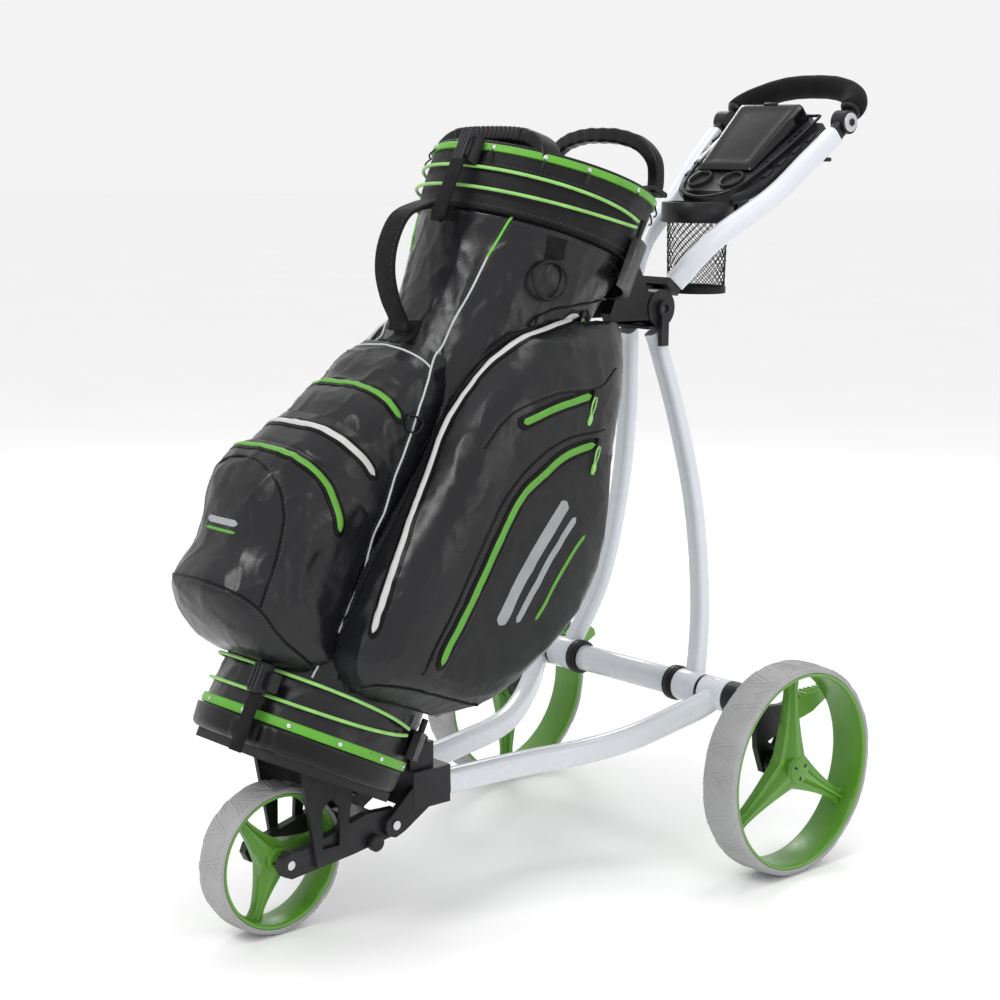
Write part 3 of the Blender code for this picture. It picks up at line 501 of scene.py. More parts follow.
def sweep(points, section, across=None, shape=None, closed=False):
    """A section swept along points. across(k) gives the section's first axis; else it stays level."""
    points = [Vector(p) for p in points]
    count = len(points)
    verts, uvs, run = [], [], 0.0
    for k, p in enumerate(points):
        before = points[k - 1] if closed or k else p
        after = points[(k + 1) % count] if closed or k < count - 1 else p
        along = (after - before).normalized()
        side = across(k) if across else along.cross(Vector((0, 0, 1)))
        side = (side - side.dot(along) * along).normalized()
        up = side.cross(along)
        if k:
            run += (p - points[k - 1]).length
        grow = shape(k / max(1, count - 1)) if shape else 1.0
        for sx, sy in section:
            verts.append(p + grow * (sx * side + sy * up))
            uvs.append((sx, run))
    return verts, loft_faces(count, len(section), closed), uvs


def turned(profile, steps=96, axis="X"):
    """A closed profile of (radius, height) turned about X or Z."""
    verts = []
    for k in range(steps):
        a = 2 * math.pi * k / steps
        for radius, height in profile:
            x, y = radius * math.cos(a), radius * math.sin(a)
            verts.append(Vector((height, x, y) if axis == "X" else (x, y, height)))
    return verts, loft_faces(steps, len(profile), closed=True)


def rounded_box(low, high, corner=0.001):
    """A block with bevelled edges."""
    low, high = Vector(low), Vector(high)
    bm = bmesh.new()
    bmesh.ops.create_cube(
        bm, size=1, matrix=Matrix.Translation((low + high) / 2) @ Matrix.Diagonal((*(high - low), 1)),
    )
    bmesh.ops.bevel(bm, geom=bm.edges[:], offset=corner, segments=2, profile=0.6, affect="EDGES")
    bm.verts.ensure_lookup_table()
    verts = [v.co.copy() for v in bm.verts]
    faces = [[v.index for v in f.verts] for f in bm.faces]
    bm.free()
    return verts, faces


def disc(radius, height, dome=0.0, corner=0.0015, steps=40, axis="Z", place=(0, 0, 0)):
    """A round cap with rounded edges and a domed top, standing on its base."""
    rows = [(radius, 0.0), (radius, height - corner)]
    rows += [
        (
            radius - corner * (1 - math.cos(math.radians(a))),
            height - corner + corner * math.sin(math.radians(a)),
        )
        for a in (30, 60, 90)
    ]
    rows += [((radius - corner) * s, height + dome * (1 - s * s)) for s in (0.75, 0.5, 0.25)]
    verts = []
    for r, h in rows:
        for k in range(steps):
            a = 2 * math.pi * k / steps
            verts.append(Vector((r * math.cos(a), r * math.sin(a), h)))
    faces = loft_faces(len(rows), steps)
    turn = {
        "Z": Matrix(), "X": Matrix.Rotation(math.pi / 2, 4, "Y"), "-X": Matrix.Rotation(-math.pi / 2, 4, "Y"),
        "-Y": Matrix.Rotation(math.pi / 2, 4, "X"),
    }[axis]
    return [Matrix.Translation(place) @ turn @ v for v in verts], faces


# Things that lie on a skin


class Skin:
    """The outside of one or more soft pieces, in the bag's frame, that seams and zips are laid on."""

    def __init__(self, *objs):
        verts, faces = [], []
        back = BAG.inverted()
        for obj in objs:
            start = len(verts)
            verts += [back @ v.co for v in obj.data.vertices]
            faces += [tuple(start + k for k in p.vertices) for p in obj.data.polygons]
        self.tree = BVHTree.FromPolygons(verts, faces)

    def near(self, p):
        place, normal, _, _ = self.tree.find_nearest(p)
        return place, normal

    def path(self, points, spacing=0.004, closed=False):
        """A smooth path through points, laid on the skin, with the skin's direction at each point."""
        raw = smooth_path(points, spacing, closed)
        found = [self.near(p) for p in raw]
        places = [f[0] for f in found]
        ways = [f[1] for f in found]
        for _ in range(3):
            ways = [
                (ways[max(0, k - 1)] + 2 * ways[k] + ways[min(len(ways) - 1, k + 1)]).normalized()
                for k in range(len(ways))
            ]
            places = [
                p if k in (0, len(places) - 1) else (places[k - 1] + 2 * p + places[k + 1]) / 4
                for k, p in enumerate(places)
            ]
        return places, ways

    def ribbon(
        self, points, width, lift, sink=0.0015, crown=0.0, rows=7, spacing=0.004, closed=False, shape=None,
    ):
        """A strip that follows the skin across its whole width. Returns verts, faces and its own coordinates."""
        places, ways = self.path(points, spacing, closed)
        count = len(places)
        verts, uvs, run = [], [], 0.0
        for k, (p, n) in enumerate(zip(places, ways)):
            before = places[k - 1] if closed or k else p
            after = places[(k + 1) % count] if closed or k < count - 1 else p
            side = (after - before).cross(n).normalized()
            if k:
                run += (p - places[k - 1]).length
            t = k / max(1, count - 1)
            wide = width * (shape(t) if shape else 1.0)
            top = []
            for j in range(rows):
                s = 2 * j / (rows - 1) - 1
                at, _ = self.near(p + side * (s * wide / 2))
                top.append((at + n * (lift + crown * (1 - s * s)), s * wide / 2))
            low = [(q - n * (lift + crown + sink), u) for q, u in (top[-1], top[0])]
            for q, u in (*top, *low):
                verts.append(q)
                uvs.append((u, run))
        return verts, loft_faces(count, rows + 2, closed), uvs

    def cord(self, points, radius, proud=0.4, spacing=0.004, closed=False, sides=8):
        places, ways = self.path(points, spacing, closed)
        return tube([p + n * radius * proud for p, n in zip(places, ways)], radius, sides, closed)

    def stitches(self, points, offset=0.0, pitch=0.0048, length=0.0030, thick=0.0005):
        """Short raised threads along a path, offset sideways on the skin."""
        places, ways = self.path(points, pitch / 4)
        shape = Shape()
        run, wait = 0.0, 0.0
        for k in range(1, len(places) - 1):
            step = (places[k] - places[k - 1]).length
            run += step
            if run < wait:
                continue
            wait = run + pitch
            along = (places[k + 1] - places[k - 1]).normalized()
            side = along.cross(ways[k]).normalized()
            at, _ = self.near(places[k] + side * offset)
            n = ways[k]
            ring = []
            for s, h in ((-0.5, 0.0), (-0.25, 1.0), (0.25, 1.0), (0.5, 0.0)):
                c = at + along * (s * length) + n * (h * thick * 0.9 - thick * 0.1)
                ring.append((
                    c - side * thick, c + side * thick, c + side * thick * 0.6 - n * thick,
                    c - side * thick * 0.6 - n * thick,
                ))
            verts = [v for r in ring for v in r]
            shape.add(verts, loft_faces(4, 4))
        return shape


def pill(t, share=0.06):
    """Width of a strip with rounded ends, along its length from 0 to 1."""
    edge = min(t, 1 - t) / share
    return 0.15 + 0.85 * math.sqrt(max(0.0, 1 - (1 - min(1.0, edge)) ** 2))


# Soft goods of the bag


def ridges(p, stretch, seed):
    """Sharp little ridges, from 0 to 1, stretched along an axis."""
    q = Vector((p.x * stretch[0], p.y * stretch[1], p.z * stretch[2])) + Vector((seed, 2 * seed, 3 * seed))
    return 1 - min(1.0, 2.2 * abs(noise.noise(q)))


def swell(p, stretch, seed):
    return noise.noise(
        Vector((p.x * stretch[0], p.y * stretch[1], p.z * stretch[2])) + Vector((seed, seed, seed))
    )


def crumple(p, seed):
    """Displacement of coated nylon: long slack folds, then short creases on them."""
    broad = swell(p, (9, 9, 5), seed)
    slant = Vector((p.x, p.y * 0.8 + p.z * 0.6, p.z * 0.8 - p.y * 0.6))
    cross = Vector((p.x, p.y * 0.5 - p.z * 0.87, p.z * 0.5 + p.y * 0.87))
    long_fold = ridges(slant, (19, 21, 5.5), seed + 4.0) ** 4
    across_fold = ridges(cross, (17, 20, 8), seed + 6.0) ** 5
    short = ridges(p, (34, 40, 26), seed + 9.0) ** 4
    return 0.0030 * broad + 0.0038 * long_fold * (0.4 + broad) + 0.0028 * across_fold * (
        0.35 - broad
    ) + 0.0013 * short


def dense(sections, steps):
    """Sections at even heights, smoothed between the given ones."""
    low, high = sections[0][0], sections[-1][0]
    return [between(sections, low + (high - low) * k / steps) for k in range(steps + 1)]


def shell_row(z):
    return between(SHELL, min(max(z, SHELL[0][0]), SHELL[-1][0]))


def front_keep(q):
    """Keeps a front pocket's hidden side on the front of the shell."""
    _, half_x, half_y, middle, _ = shell_row(q.z)
    u = min(0.999, abs(q.x) / half_x)
    front = middle - half_y * math.sqrt(1 - u * u) - 0.0012
    return Vector((q.x, min(q.y, front), q.z))


def side_keep(side):
    """Keeps a side pocket clear of the shell and of the front pockets."""

    def keep(q):
        _, half_x, half_y, middle, _ = shell_row(q.z)
        u = (q.y - middle) / half_y
        least = half_x * math.sqrt(1 - u * u) + 0.0012 if abs(u) < 1 else 0.0
        if q.y < 0.005 and q.z < 0.60:
            least = max(least, 0.0990)
        return Vector((side * max(side * q.x, least), q.y, q.z))

    return keep


def bag_shell():
    rows = dense(SHELL, 150)
    count = 200
    verts = []
    for row in rows:
        z = row[0]
        edge = min(1.0, (z - SHELL[0][0]) / 0.03, (SHELL[-1][0] - z) / 0.03)
        for v in oval(row, -0.0015, 2.0, count):
            away = Vector((v.x, v.y - row[3], 0)).normalized()
            move = crumple(v, 1.0) * 0.9 - 0.0014
            side = abs(away.x)
            if z > 0.40 and away.y < 0.6:
                gusset = ridges(v, (30, 38, 5), 21.0) ** 2
                move += 0.0022 * gusset * side
            verts.append(v + away * move * max(0.0, edge))
    obj = piece(
        "bag_shell_skin", verts, loft_faces(len(rows), count, caps=False), "nylon", "bag", "charcoal_nylon",
        BAG, ["bag_shell"],
    )
    # An open tube has no inside of its own, so its faces are turned to look outward
    middle = sum((v.co for v in obj.data.vertices), Vector()) / len(obj.data.vertices)
    if sum((f.center - middle).dot(f.normal) * f.area for f in obj.data.polygons) < 0:
        obj.data.flip_normals()
    wall = obj.modifiers.new("wall", "SOLIDIFY")
    wall.thickness = 0.0045
    wall.offset = -1
    obj.data.materials.append(M["lining"])
    wall.material_offset = 1
    return obj


# Sections of the pockets on the front, and of the side pocket, which has its middle across and along
BALL = (
    (0.098, 0.060, 0.045, -0.100, 0.0), (0.104, 0.078, 0.072, -0.101, 0.0),
    (0.128, 0.094, 0.108, -0.105, 0.0), (0.152, 0.097, 0.131, -0.105, -0.03),
    (0.205, 0.098, 0.126, -0.102, -0.08), (0.262, 0.098, 0.136, -0.100, -0.18),
    (0.292, 0.097, 0.124, -0.098, -0.30), (0.306, 0.095, 0.110, -0.095, -0.38),
)
MIDDLE = (
    (0.299, 0.094, 0.102, -0.092, -0.40), (0.309, 0.0965, 0.104, -0.091, -0.40),
    (0.322, 0.098, 0.101, -0.088, -0.41), (0.335, 0.097, 0.097, -0.085, -0.42),
    (0.350, 0.095, 0.092, -0.081, -0.42), (0.364, 0.093, 0.087, -0.078, -0.42),
)
UPPER = (
    (0.356, 0.091, 0.086, -0.076, -0.42), (0.400, 0.093, 0.080, -0.066, -0.40),
    (0.445, 0.090, 0.062, -0.058, -0.30), (0.490, 0.084, 0.056, -0.052, -0.10),
    (0.528, 0.070, 0.036, -0.050, 0.0),
)
SIDE = (
    (0.104, 0.040, 0.080, 0.098, 0.028, 0.06), (0.140, 0.062, 0.112, 0.116, 0.036, 0.06),
    (0.195, 0.068, 0.135, 0.120, 0.055, 0.07), (0.250, 0.072, 0.153, 0.122, 0.071, 0.08),
    (0.310, 0.073, 0.159, 0.122, 0.085, 0.09), (0.400, 0.074, 0.147, 0.120, 0.091, 0.10),
    (0.470, 0.072, 0.130, 0.116, 0.085, 0.12), (0.540, 0.070, 0.112, 0.112, 0.086, 0.15),
    (0.605, 0.060, 0.095, 0.098, 0.095, 0.25), (0.632, 0.048, 0.080, 0.092, 0.106, 0.34),
    (0.650, 0.038, 0.062, 0.088, 0.116, 0.40),
)


def shrunk(row, share):
    """A ring of a pocket's closed end: the same section at a share of its size."""
    small = np.array(row, float)
    small[1:3] *= share
    return small


CLOSING = (0.2, 0.5, 0.8)


def front_pocket(name, sections, steps, seed, amount, extra=None):
    rows = dense(sections, steps)
    rows = [shrunk(rows[0], t) for t in CLOSING] + rows + [shrunk(rows[-1], t) for t in reversed(CLOSING)]
    count = 180
    verts = []
    for row in rows:
        for v in oval(row, 0, 3.0, count):
            away = Vector((v.x, v.y - row[3], 0)).normalized()
            move = (crumple(v, seed) - 0.0014) * amount + (extra(v) if extra else 0)
            verts.append(front_keep(v + away * move))
    obj = piece(
        name, verts, loft_faces(len(rows), count), "nylon", "bag", "charcoal_nylon", BAG,
        [name.replace("_skin", "")],
    )
    return obj


def ball_sag(v):
    """The ball pocket's corners stand crisp and its flanks hollow and fold between them."""
    flank = clamp((abs(v.x) - 0.06) / 0.03)
    folds = ridges(Vector((v.x, v.y, v.z + v.y * 0.5)), (10, 22, 9), 31.0) ** 2
    front = clamp((-v.y - 0.16) / 0.05)
    hollow = -0.004 * math.exp(-(((v.z - 0.225) / 0.045) ** 2)) * front
    return flank * (0.005 * folds - 0.002) + hollow


def side_pocket(word, side):
    rows = dense(SIDE, 110)
    rows = [shrunk(rows[0], t) for t in CLOSING] + rows + [shrunk(rows[-1], t) for t in reversed(CLOSING)]
    keep = side_keep(side)
    count = 180
    verts = []
    for z, half_x, half_y, x, y, slope in rows:
        for v in oval((z, half_x, half_y, y, slope), 0, 3.0, count):
            away = Vector((v.x, v.y - y, 0)).normalized()
            at = Vector((x + v.x, v.y, v.z))
            low = clamp((0.30 - z) / 0.15)
            move = (crumple(at, 3.0) - 0.0014) * (0.75 + 0.6 * low)
            panel = clamp((at.y - 0.03) / 0.03) * clamp((0.56 - z) / 0.04)
            move -= 0.0015 * panel
            q = at + away * move
            verts.append(keep(Vector((side * q.x, q.y, q.z))))
    obj = piece(
        f"side_pocket_{word}_skin", verts, loft_faces(len(rows), count), "nylon", "bag", "charcoal_nylon",
        BAG, [f"side_pocket_{word}"],
    )
    return obj


shell = bag_shell()
ball = front_pocket("ball_pocket_skin", BALL, 70, 5.0, 1.0, ball_sag)
middle = front_pocket("middle_front_pocket_skin", MIDDLE, 20, 7.0, 0.6)
upper = front_pocket("upper_front_pocket_skin", UPPER, 50, 11.0, 0.8)
side_skins = {word: side_pocket(word, side) for word, side in SIDES}


# Seams, zips and panels: each is drawn for the left side and mirrored where the bag is


def mirrored(points, side):
    return [(side * x, y, z) for x, y, z in points]


def bridged(half, crown, spacing=0.004):
    """A smooth path from the right over a middle point to the left."""
    return smooth_path([*mirrored(half, -1), crown, *half[::-1]], spacing)


def arch(half):
    """A path from the left over the front to the right."""
    return [*half, *[(-x, y, z) for x, y, z in reversed(half) if abs(x) > 1e-6]]


ZIP_END = 2  # points of the path that the border runs past the coil


def zip_line(name, skin, points, finish, width=0.0085, border=0.0180):
    """A welded zip: a dark border strip with a rounded coil along it."""
    shape = Shape().add(*skin.ribbon(points, border, 0.0011, 0.003, 0.0004, shape=lambda t: pill(t, 0.05)))
    shape.on_bag(f"{name}_border", "trim")
    coil = smooth_path(points, 0.004)[ZIP_END:-ZIP_END]
    shape = Shape().add(*skin.ribbon(
        coil, width, 0.0016, 0.003, 0.0014, rows=9, shape=lambda t: pill(t, 0.03),
    ))
    shape.make(f"{name}_coil", finish, "bag", "green_band" if "green" in finish else "charcoal_nylon", BAG)


PULL_LIFT = 0.005
# The pull's loop: down from the slider, and sideways
PULL_LOOP = (
    (0.004, -0.0015), (0.014, -0.003), (0.024, -0.0018), (0.030, 0), (0.024, 0.0018), (0.014, 0.003),
    (0.004, 0.0015),
)


def puller(name, at, way, down, finish="cord"):
    """A zip slider with a short knotted cord."""
    at, way, down = Vector(at), Vector(way).normalized(), Vector(down).normalized()
    side = way.cross(down).normalized()
    frame_of = Matrix((side, down, way)).transposed().to_4x4()
    slider = Shape().add(
        *rounded_box((-0.004, -0.006, 0.001), (0.004, 0.006, 0.005), 0.0012),
        matrix=Matrix.Translation(at) @ frame_of,
    )
    loop = [at + way * PULL_LIFT + down * d + side * s for d, s in PULL_LOOP]
    slider.on_bag(f"{name}_slider", "plastic", "black_plastic")
    pull = Shape().add(*tube(smooth_path(loop, 0.003), 0.0011, 8))
    pull.add(*tube(
        [at + way * PULL_LIFT + down * d for d in (0.027, 0.031, 0.036, 0.041)], 0.0027, 10,
        taper=lambda t: 0.75 + 0.5 * math.sin(math.pi * t),
    ))
    pull.on_bag(f"{name}_pull", finish, "green_cord")


MAIN_SEAM = [
    (0.089, -0.040, 0.728), (0.074, -0.043, 0.667), (0.067, -0.044, 0.618), (0.061, -0.050, 0.564),
    (0.076, -0.069, 0.506), (0.091, -0.076, 0.410), (0.095, -0.077, 0.308), (0.097, -0.077, 0.203),
    (0.088, -0.087, 0.100),
]
SIDE_ZIP = [
    (0.114, 0.109, 0.655), (0.133, 0.041, 0.619), (0.134, -0.006, 0.575), (0.120, -0.030, 0.521),
    (0.114, -0.045, 0.448), (0.123, -0.057, 0.388), (0.135, -0.066, 0.332), (0.150, -0.077, 0.244),
    (0.150, -0.073, 0.165),
]
SIDE_SEAM = [
    (0.102, 0.141, 0.690), (0.121, 0.061, 0.645), (0.126, 0.003, 0.595), (0.101, -0.029, 0.525),
    (0.089, -0.039, 0.437), (0.110, -0.060, 0.340), (0.112, -0.075, 0.248), (0.108, -0.072, 0.165),
    (0.103, -0.060, 0.108),
]


def piped(skin, points, where, radius, offset, finish="trim"):
    """Piping along a seam, and the row of stitches beside it."""
    Shape().add(*skin.cord(points, radius)).on_bag(f"piping_{where}", finish)
    skin.stitches(points, offset).on_bag(f"stitch_{where}", "thread")


def seams():
    front = Skin(shell, ball, middle, upper)
    for word, side in SIDES:
        near = Skin(shell, ball, middle, upper, side_skins[word])
        pocket = Skin(side_skins[word])
        body = Skin(shell)
        # Piping down the edge of the front panel, and its two rows of stitches
        top, rest = mirrored(MAIN_SEAM[:2], side), mirrored(MAIN_SEAM[1:], side)
        Shape().add(*near.cord(top, 0.0017)).on_bag(f"piping_top_{word}", "green_piping", "green_cord")
        Shape().add(*near.cord(rest, 0.0015)).on_bag(f"piping_main_{word}", "piping")
        for name, offset in (("a", 0.0045), ("b", -0.0045)):
            near.stitches(mirrored(MAIN_SEAM, side), offset).on_bag(f"stitch_main_{name}_{word}", "thread")
        # Long curved zip along the front edge of the side pocket
        zip_line(f"side_zip_{word}", near, mirrored(SIDE_ZIP, side), "zip_white")
        piped(near, mirrored(SIDE_SEAM, side), f"side_{word}", 0.0016, 0.005)
        # Two green zips on the outer face, and the seam in front of them
        small = [(0.181, 0.005, 0.470), (0.183, 0.051, 0.511), (0.176, 0.112, 0.553)]
        large = [
            (0.184, 0.142, 0.500), (0.187, 0.095, 0.466), (0.192, 0.061, 0.424), (0.195, 0.038, 0.385),
            (0.194, 0.026, 0.305), (0.190, 0.018, 0.220), (0.182, 0.014, 0.158),
        ]
        crease = [
            (0.184, 0.150, 0.520), (0.186, 0.090, 0.486), (0.190, 0.046, 0.440), (0.194, 0.018, 0.385),
            (0.194, 0.006, 0.305), (0.190, 0.000, 0.220), (0.180, -0.004, 0.146),
        ]
        zip_line(f"small_zip_{word}", pocket, mirrored(small, side), "zip_green")
        zip_line(f"large_zip_{word}", pocket, mirrored(large, side), "zip_green", 0.0090, 0.0190)
        piped(pocket, mirrored(crease, side), f"panel_{word}", 0.0013, -0.004)
        tail = [
            (0.150, 0.150, 0.600), (0.172, 0.120, 0.565), (0.184, 0.050, 0.530), (0.183, -0.010, 0.480),
            (0.180, -0.030, 0.430),
        ]
        piped(pocket, mirrored(tail, side), f"upper_{word}", 0.0013, 0.004)
        low = [
            (0.105, -0.050, 0.106), (0.150, -0.040, 0.118), (0.172, 0.010, 0.122), (0.172, 0.070, 0.124),
            (0.165, 0.120, 0.132),
        ]
        piped(pocket, mirrored(low, side), f"low_{word}", 0.0014, 0.004)
        for name, points, k in (("side", SIDE_ZIP, 0), ("small", small, 2), ("large", large, 0)):
            p = mirrored(points, side)[k]
            at, way = near.near(Vector(p))
            puller(f"{name}_{word}", at, way, (0, 0.1, -1))
        # Seam below the cuff
        collar = [
            (0.004, -0.082, 0.710), (0.070, -0.055, 0.715), (0.117, -0.005, 0.721), (0.134, 0.060, 0.728),
            (0.120, 0.130, 0.733), (0.070, 0.185, 0.738), (0.004, 0.208, 0.740),
        ]
        body.stitches(mirrored(collar, side), 0).on_bag(f"stitch_collar_{word}", "thread")
    # Three arched zips over the front stack
    zip_line(
        "front_zip_low", Skin(ball),
        arch([
            (0.0985, -0.128, 0.265), (0.0975, -0.143, 0.292), (0.0905, -0.166, 0.317), (0.076, -0.192, 0.331),
            (0.048, -0.211, 0.337), (0, -0.216, 0.339),
        ]),
        "zip_green",
    )
    zip_line(
        "front_zip_middle", Skin(middle),
        arch([
            (0.0965, -0.104, 0.347), (0.0930, -0.126, 0.362), (0.083, -0.149, 0.371), (0.066, -0.165, 0.378),
            (0.034, -0.176, 0.382), (0, -0.179, 0.383),
        ]),
        "zip_white", 0.0085, 0.0175,
    )
    zip_line(
        "front_zip_top", Skin(upper),
        arch([
            (0.092, -0.092, 0.424), (0.080, -0.112, 0.441), (0.056, -0.122, 0.450), (0.026, -0.128, 0.455),
            (0, -0.129, 0.456),
        ]),
        "zip_green", 0.0080, 0.0170,
    )
    over = arch([(0.074, -0.070, 0.505), (0.050, -0.086, 0.514), (0, -0.092, 0.520)])
    piped(front, over, "over", 0.0014, 0.0045, "piping")
    # Face of the ball pocket: an arched panel seam, and a seam round its foot
    face = Skin(ball)
    panel = [
        (0.085, -0.194, 0.154), (0.084, -0.197, 0.217), (0.079, -0.202, 0.260), (0.062, -0.204, 0.288),
        (0.034, -0.204, 0.304), (0, -0.204, 0.310),
    ]
    piped(face, arch(panel), "ball_face", 0.0015, 0.004)
    foot = [
        (0.092, -0.096, 0.112), (0.090, -0.153, 0.130), (0.085, -0.190, 0.150), (0.075, -0.212, 0.158),
        (0.047, -0.229, 0.162), (0, -0.236, 0.163),
    ]
    piped(face, arch(foot), "ball_foot", 0.0017, -0.004)


seams()


def patch(name, skin, front_edge, rear_edge, finish, lift=0.0009, rows=60, cols=34):
    """A panel of another fabric welded over part of a skin, between two edges given from the top down."""
    left, right = smooth_path(front_edge, 0.004), smooth_path(rear_edge, 0.004)

    def along(path, t):
        k = t * (len(path) - 1)
        low = min(int(k), len(path) - 2)
        return path[low].lerp(path[low + 1], k - low)

    top, under = [], []
    for j in range(rows):
        a, b = along(left, j / (rows - 1)), along(right, j / (rows - 1))
        for k in range(cols):
            t = k / (cols - 1)
            at, way = skin.near(a.lerp(b, t))
            edge = 0 if k in (0, cols - 1) or j in (0, rows - 1) else 1
            top.append(at + way * (lift * edge))
            under.append(at - way * 0.0015)
    faces = [
        (j * cols + k, j * cols + k + 1, (j + 1) * cols + k + 1, (j + 1) * cols + k)
        for j in range(rows - 1)
        for k in range(cols - 1)
    ]
    start = len(top)
    loop = grid_border(rows, cols)
    faces += [tuple(start + k for k in f) for f in faces]
    faces += [(a, b, start + b, start + a) for a, b in zip(loop, loop[1:] + loop[:1])]
    Shape().add(top + under, faces).make(name, finish, "bag", "charcoal_nylon", BAG)


def panels():
    """Matt panels behind the long green zips, with plain slanted bars in place of a print."""
    for word, side in SIDES:
        skin = Skin(side_skins[word])
        front_edge = [
            (0.182, 0.160, 0.492), (0.188, 0.112, 0.466), (0.192, 0.076, 0.424), (0.195, 0.052, 0.385),
            (0.195, 0.039, 0.305), (0.190, 0.031, 0.220), (0.182, 0.026, 0.150),
        ]
        rear_edge = [
            (0.176, 0.192, 0.500), (0.178, 0.205, 0.450), (0.178, 0.216, 0.400), (0.178, 0.222, 0.350),
            (0.178, 0.215, 0.290), (0.176, 0.180, 0.230), (0.176, 0.110, 0.160),
        ]
        patch(f"side_panel_{word}", skin, mirrored(front_edge, side), mirrored(rear_edge, side), "panel")
        face = Skin(bpy.data.objects[f"side_panel_{word}"])
        for k, (finish, wide) in enumerate((("grey", 0.017), ("grey", 0.009), ("zip_green", 0.0050))):
            y = 0.082 + 0.026 * k + (0.004 if k == 2 else 0)
            bar = [
                (0.206, y + 0.034 - 0.002 * k, 0.414 - 0.014 * k), (0.206, y + 0.014, 0.350),
                (0.204, y, 0.290), (0.200, y - 0.006, 0.236 + 0.012 * k),
            ]
            shape = Shape().add(*face.ribbon(
                mirrored(bar, side), wide, 0.0007, 0.0012, 0.0, shape=lambda t: pill(t, 0.04),
            ))
            shape.on_bag(f"panel_bar_{k}_{word}", finish, "charcoal_nylon")
    face = Skin(ball)
    bar = [(-0.030, -0.226, 0.238), (0, -0.226, 0.238), (0.030, -0.226, 0.238)]
    for k, (finish, wide) in enumerate((("grey", 0.008), ("zip_green", 0.0035))):
        line = [(x, y, z - 0.011 * k) for x, y, z in bar]
        shape = Shape().add(*face.ribbon(line, wide, 0.0007, 0.001, 0.0, shape=lambda t: pill(t, 0.06)))
        shape.on_bag(f"ball_face_bar_{k}", finish, "charcoal_nylon")


panels()


# A hook on the band: out from it, and down
HOOK = ((0.001, -0.004), (0.003, -0.008), (0.0055, -0.012), (0.0060, -0.016), (0.0035, -0.019))
RIVET = (0.0030, 0.0012, 0.0008, 0.0006, 18)  # radius, height, dome, corner and sides


def facing(place, way):
    """Stands something made along Z at a place, looking a way."""
    return Matrix.Translation(place) @ way.to_track_quat("Z", "Y").to_matrix().to_4x4()


CUFF_LOW, CUFF_TOP = 0.7384, 0.8300
CUFF = (
    (CUFF_LOW, 0.137, 0.149, 0.067, 0.14), (0.800, 0.142, 0.153, 0.067, 0.16),
    (0.831, 0.143, 0.154, 0.067, 0.16),
)
BAND_LOW, BAND_TOP = 0.8185, 0.8285
BAND = (0.1436, 0.1546, 0.067, 0.16)  # half width, half depth, middle and slope


def cuff():
    count = 200
    rings = []
    for k in range(15):
        row = between(CUFF, CUFF_LOW + (CUFF_TOP - CUFF_LOW) * k / 14)
        ring = oval(row, -0.0006, 2.0, count)
        if row[0] < 0.80:
            ring = [
                v + Vector((v.x, v.y - row[3], 0)).normalized() * (
                    0.0016 * swell(v, (20, 20, 30), 2.0) - 0.0004
                )
                for v in ring
            ]
        rings.append(ring)
    lip = between(CUFF, CUFF_TOP)
    for a in (30, 60, 90, 120, 150, 180):
        row = np.array(lip)
        t = math.radians(a)
        row[0] += 0.0030 * math.sin(t)
        rings.append(oval(row, -0.0036 - 0.0030 * -math.cos(t), 2.0, count))
    for k in range(8):
        row = between(CUFF, CUFF_TOP - (CUFF_TOP - 0.7400) * k / 7)
        row[1], row[2] = min(row[1], 0.141), min(row[2], 0.152)
        rings.append(oval(row, -0.0068, 2.0, count))
    verts = [v for ring in rings for v in ring]
    piece(
        "cuff_skin", verts, loft_faces(len(rings), count, closed=True), "cuff", "bag", "black_plastic", BAG,
        ["cuff"],
    )
    # Green band under the rim, with domed edges
    rings = []
    for dz, proud in ((0, 0.0), (0.001, 0.0018), (0.005, 0.0022), (0.009, 0.0018), (0.010, 0.0)):
        rings.append(oval((BAND_LOW + dz, *BAND), proud, 2.0, count))
    rings.append(oval((BAND_TOP, *BAND), -0.0012, 2.0, count))
    rings.append(oval((BAND_LOW, *BAND), -0.0012, 2.0, count))
    verts = [v for ring in rings for v in ring]
    uvs = []
    for ring in rings:
        for k, v in enumerate(ring):
            uvs.append((v.z, k * 0.9 / count))
    piece(
        "rim_band_strip", verts, loft_faces(len(rings), count, closed=True), "band", "bag", "green_band", BAG,
        ["rim_band"], uvs=uvs,
    )
    # Rivets and small hooks on the band
    rivets, hooks = Shape(), Shape()
    for degrees in (12, 38, 62, 88, 118, 142, 168, 200, 222, 248, 292, 318, 340):
        a = math.radians(degrees)
        p = Vector((0.1452 * math.cos(a), 0.067 + 0.1562 * math.sin(a), 0.8235 + 0.16 * 0.1562 * math.sin(a)))
        n = Vector((math.cos(a) / 0.1452, math.sin(a) / 0.1562, 0)).normalized()
        rivets.add(*disc(*RIVET), matrix=facing(p, n))
        down = [p + n * s + Vector((0, 0, h)) for s, h in HOOK]
        hooks.add(*tube(smooth_path(down, 0.002), 0.0012, 8))
    rivets.on_bag("rim_rivets", "steel", "steel")
    hooks.on_bag("rim_hooks", "plastic", "black_plastic")
    # Binding along the cuff's lower edge
    ring = [Vector((v.x, v.y, v.z)) for v in oval((0.7400, 0.137, 0.149, 0.067, 0.14), 0.0003, 2.0, count)]
    Shape().add(*tube(ring, 0.0019, 10, closed=True)).on_bag("cuff_binding", "trim")
    skin = Skin(bpy.data.objects["cuff_skin"])
    for name, z in (("low", 0.7465), ("high", 0.7995)):
        ring = oval((z, 0.139, 0.151, 0.067, 0.14), 0.001, 2.0, 60)
        skin.stitches([*ring, ring[0]], 0).on_bag(f"stitch_cuff_{name}", "thread")


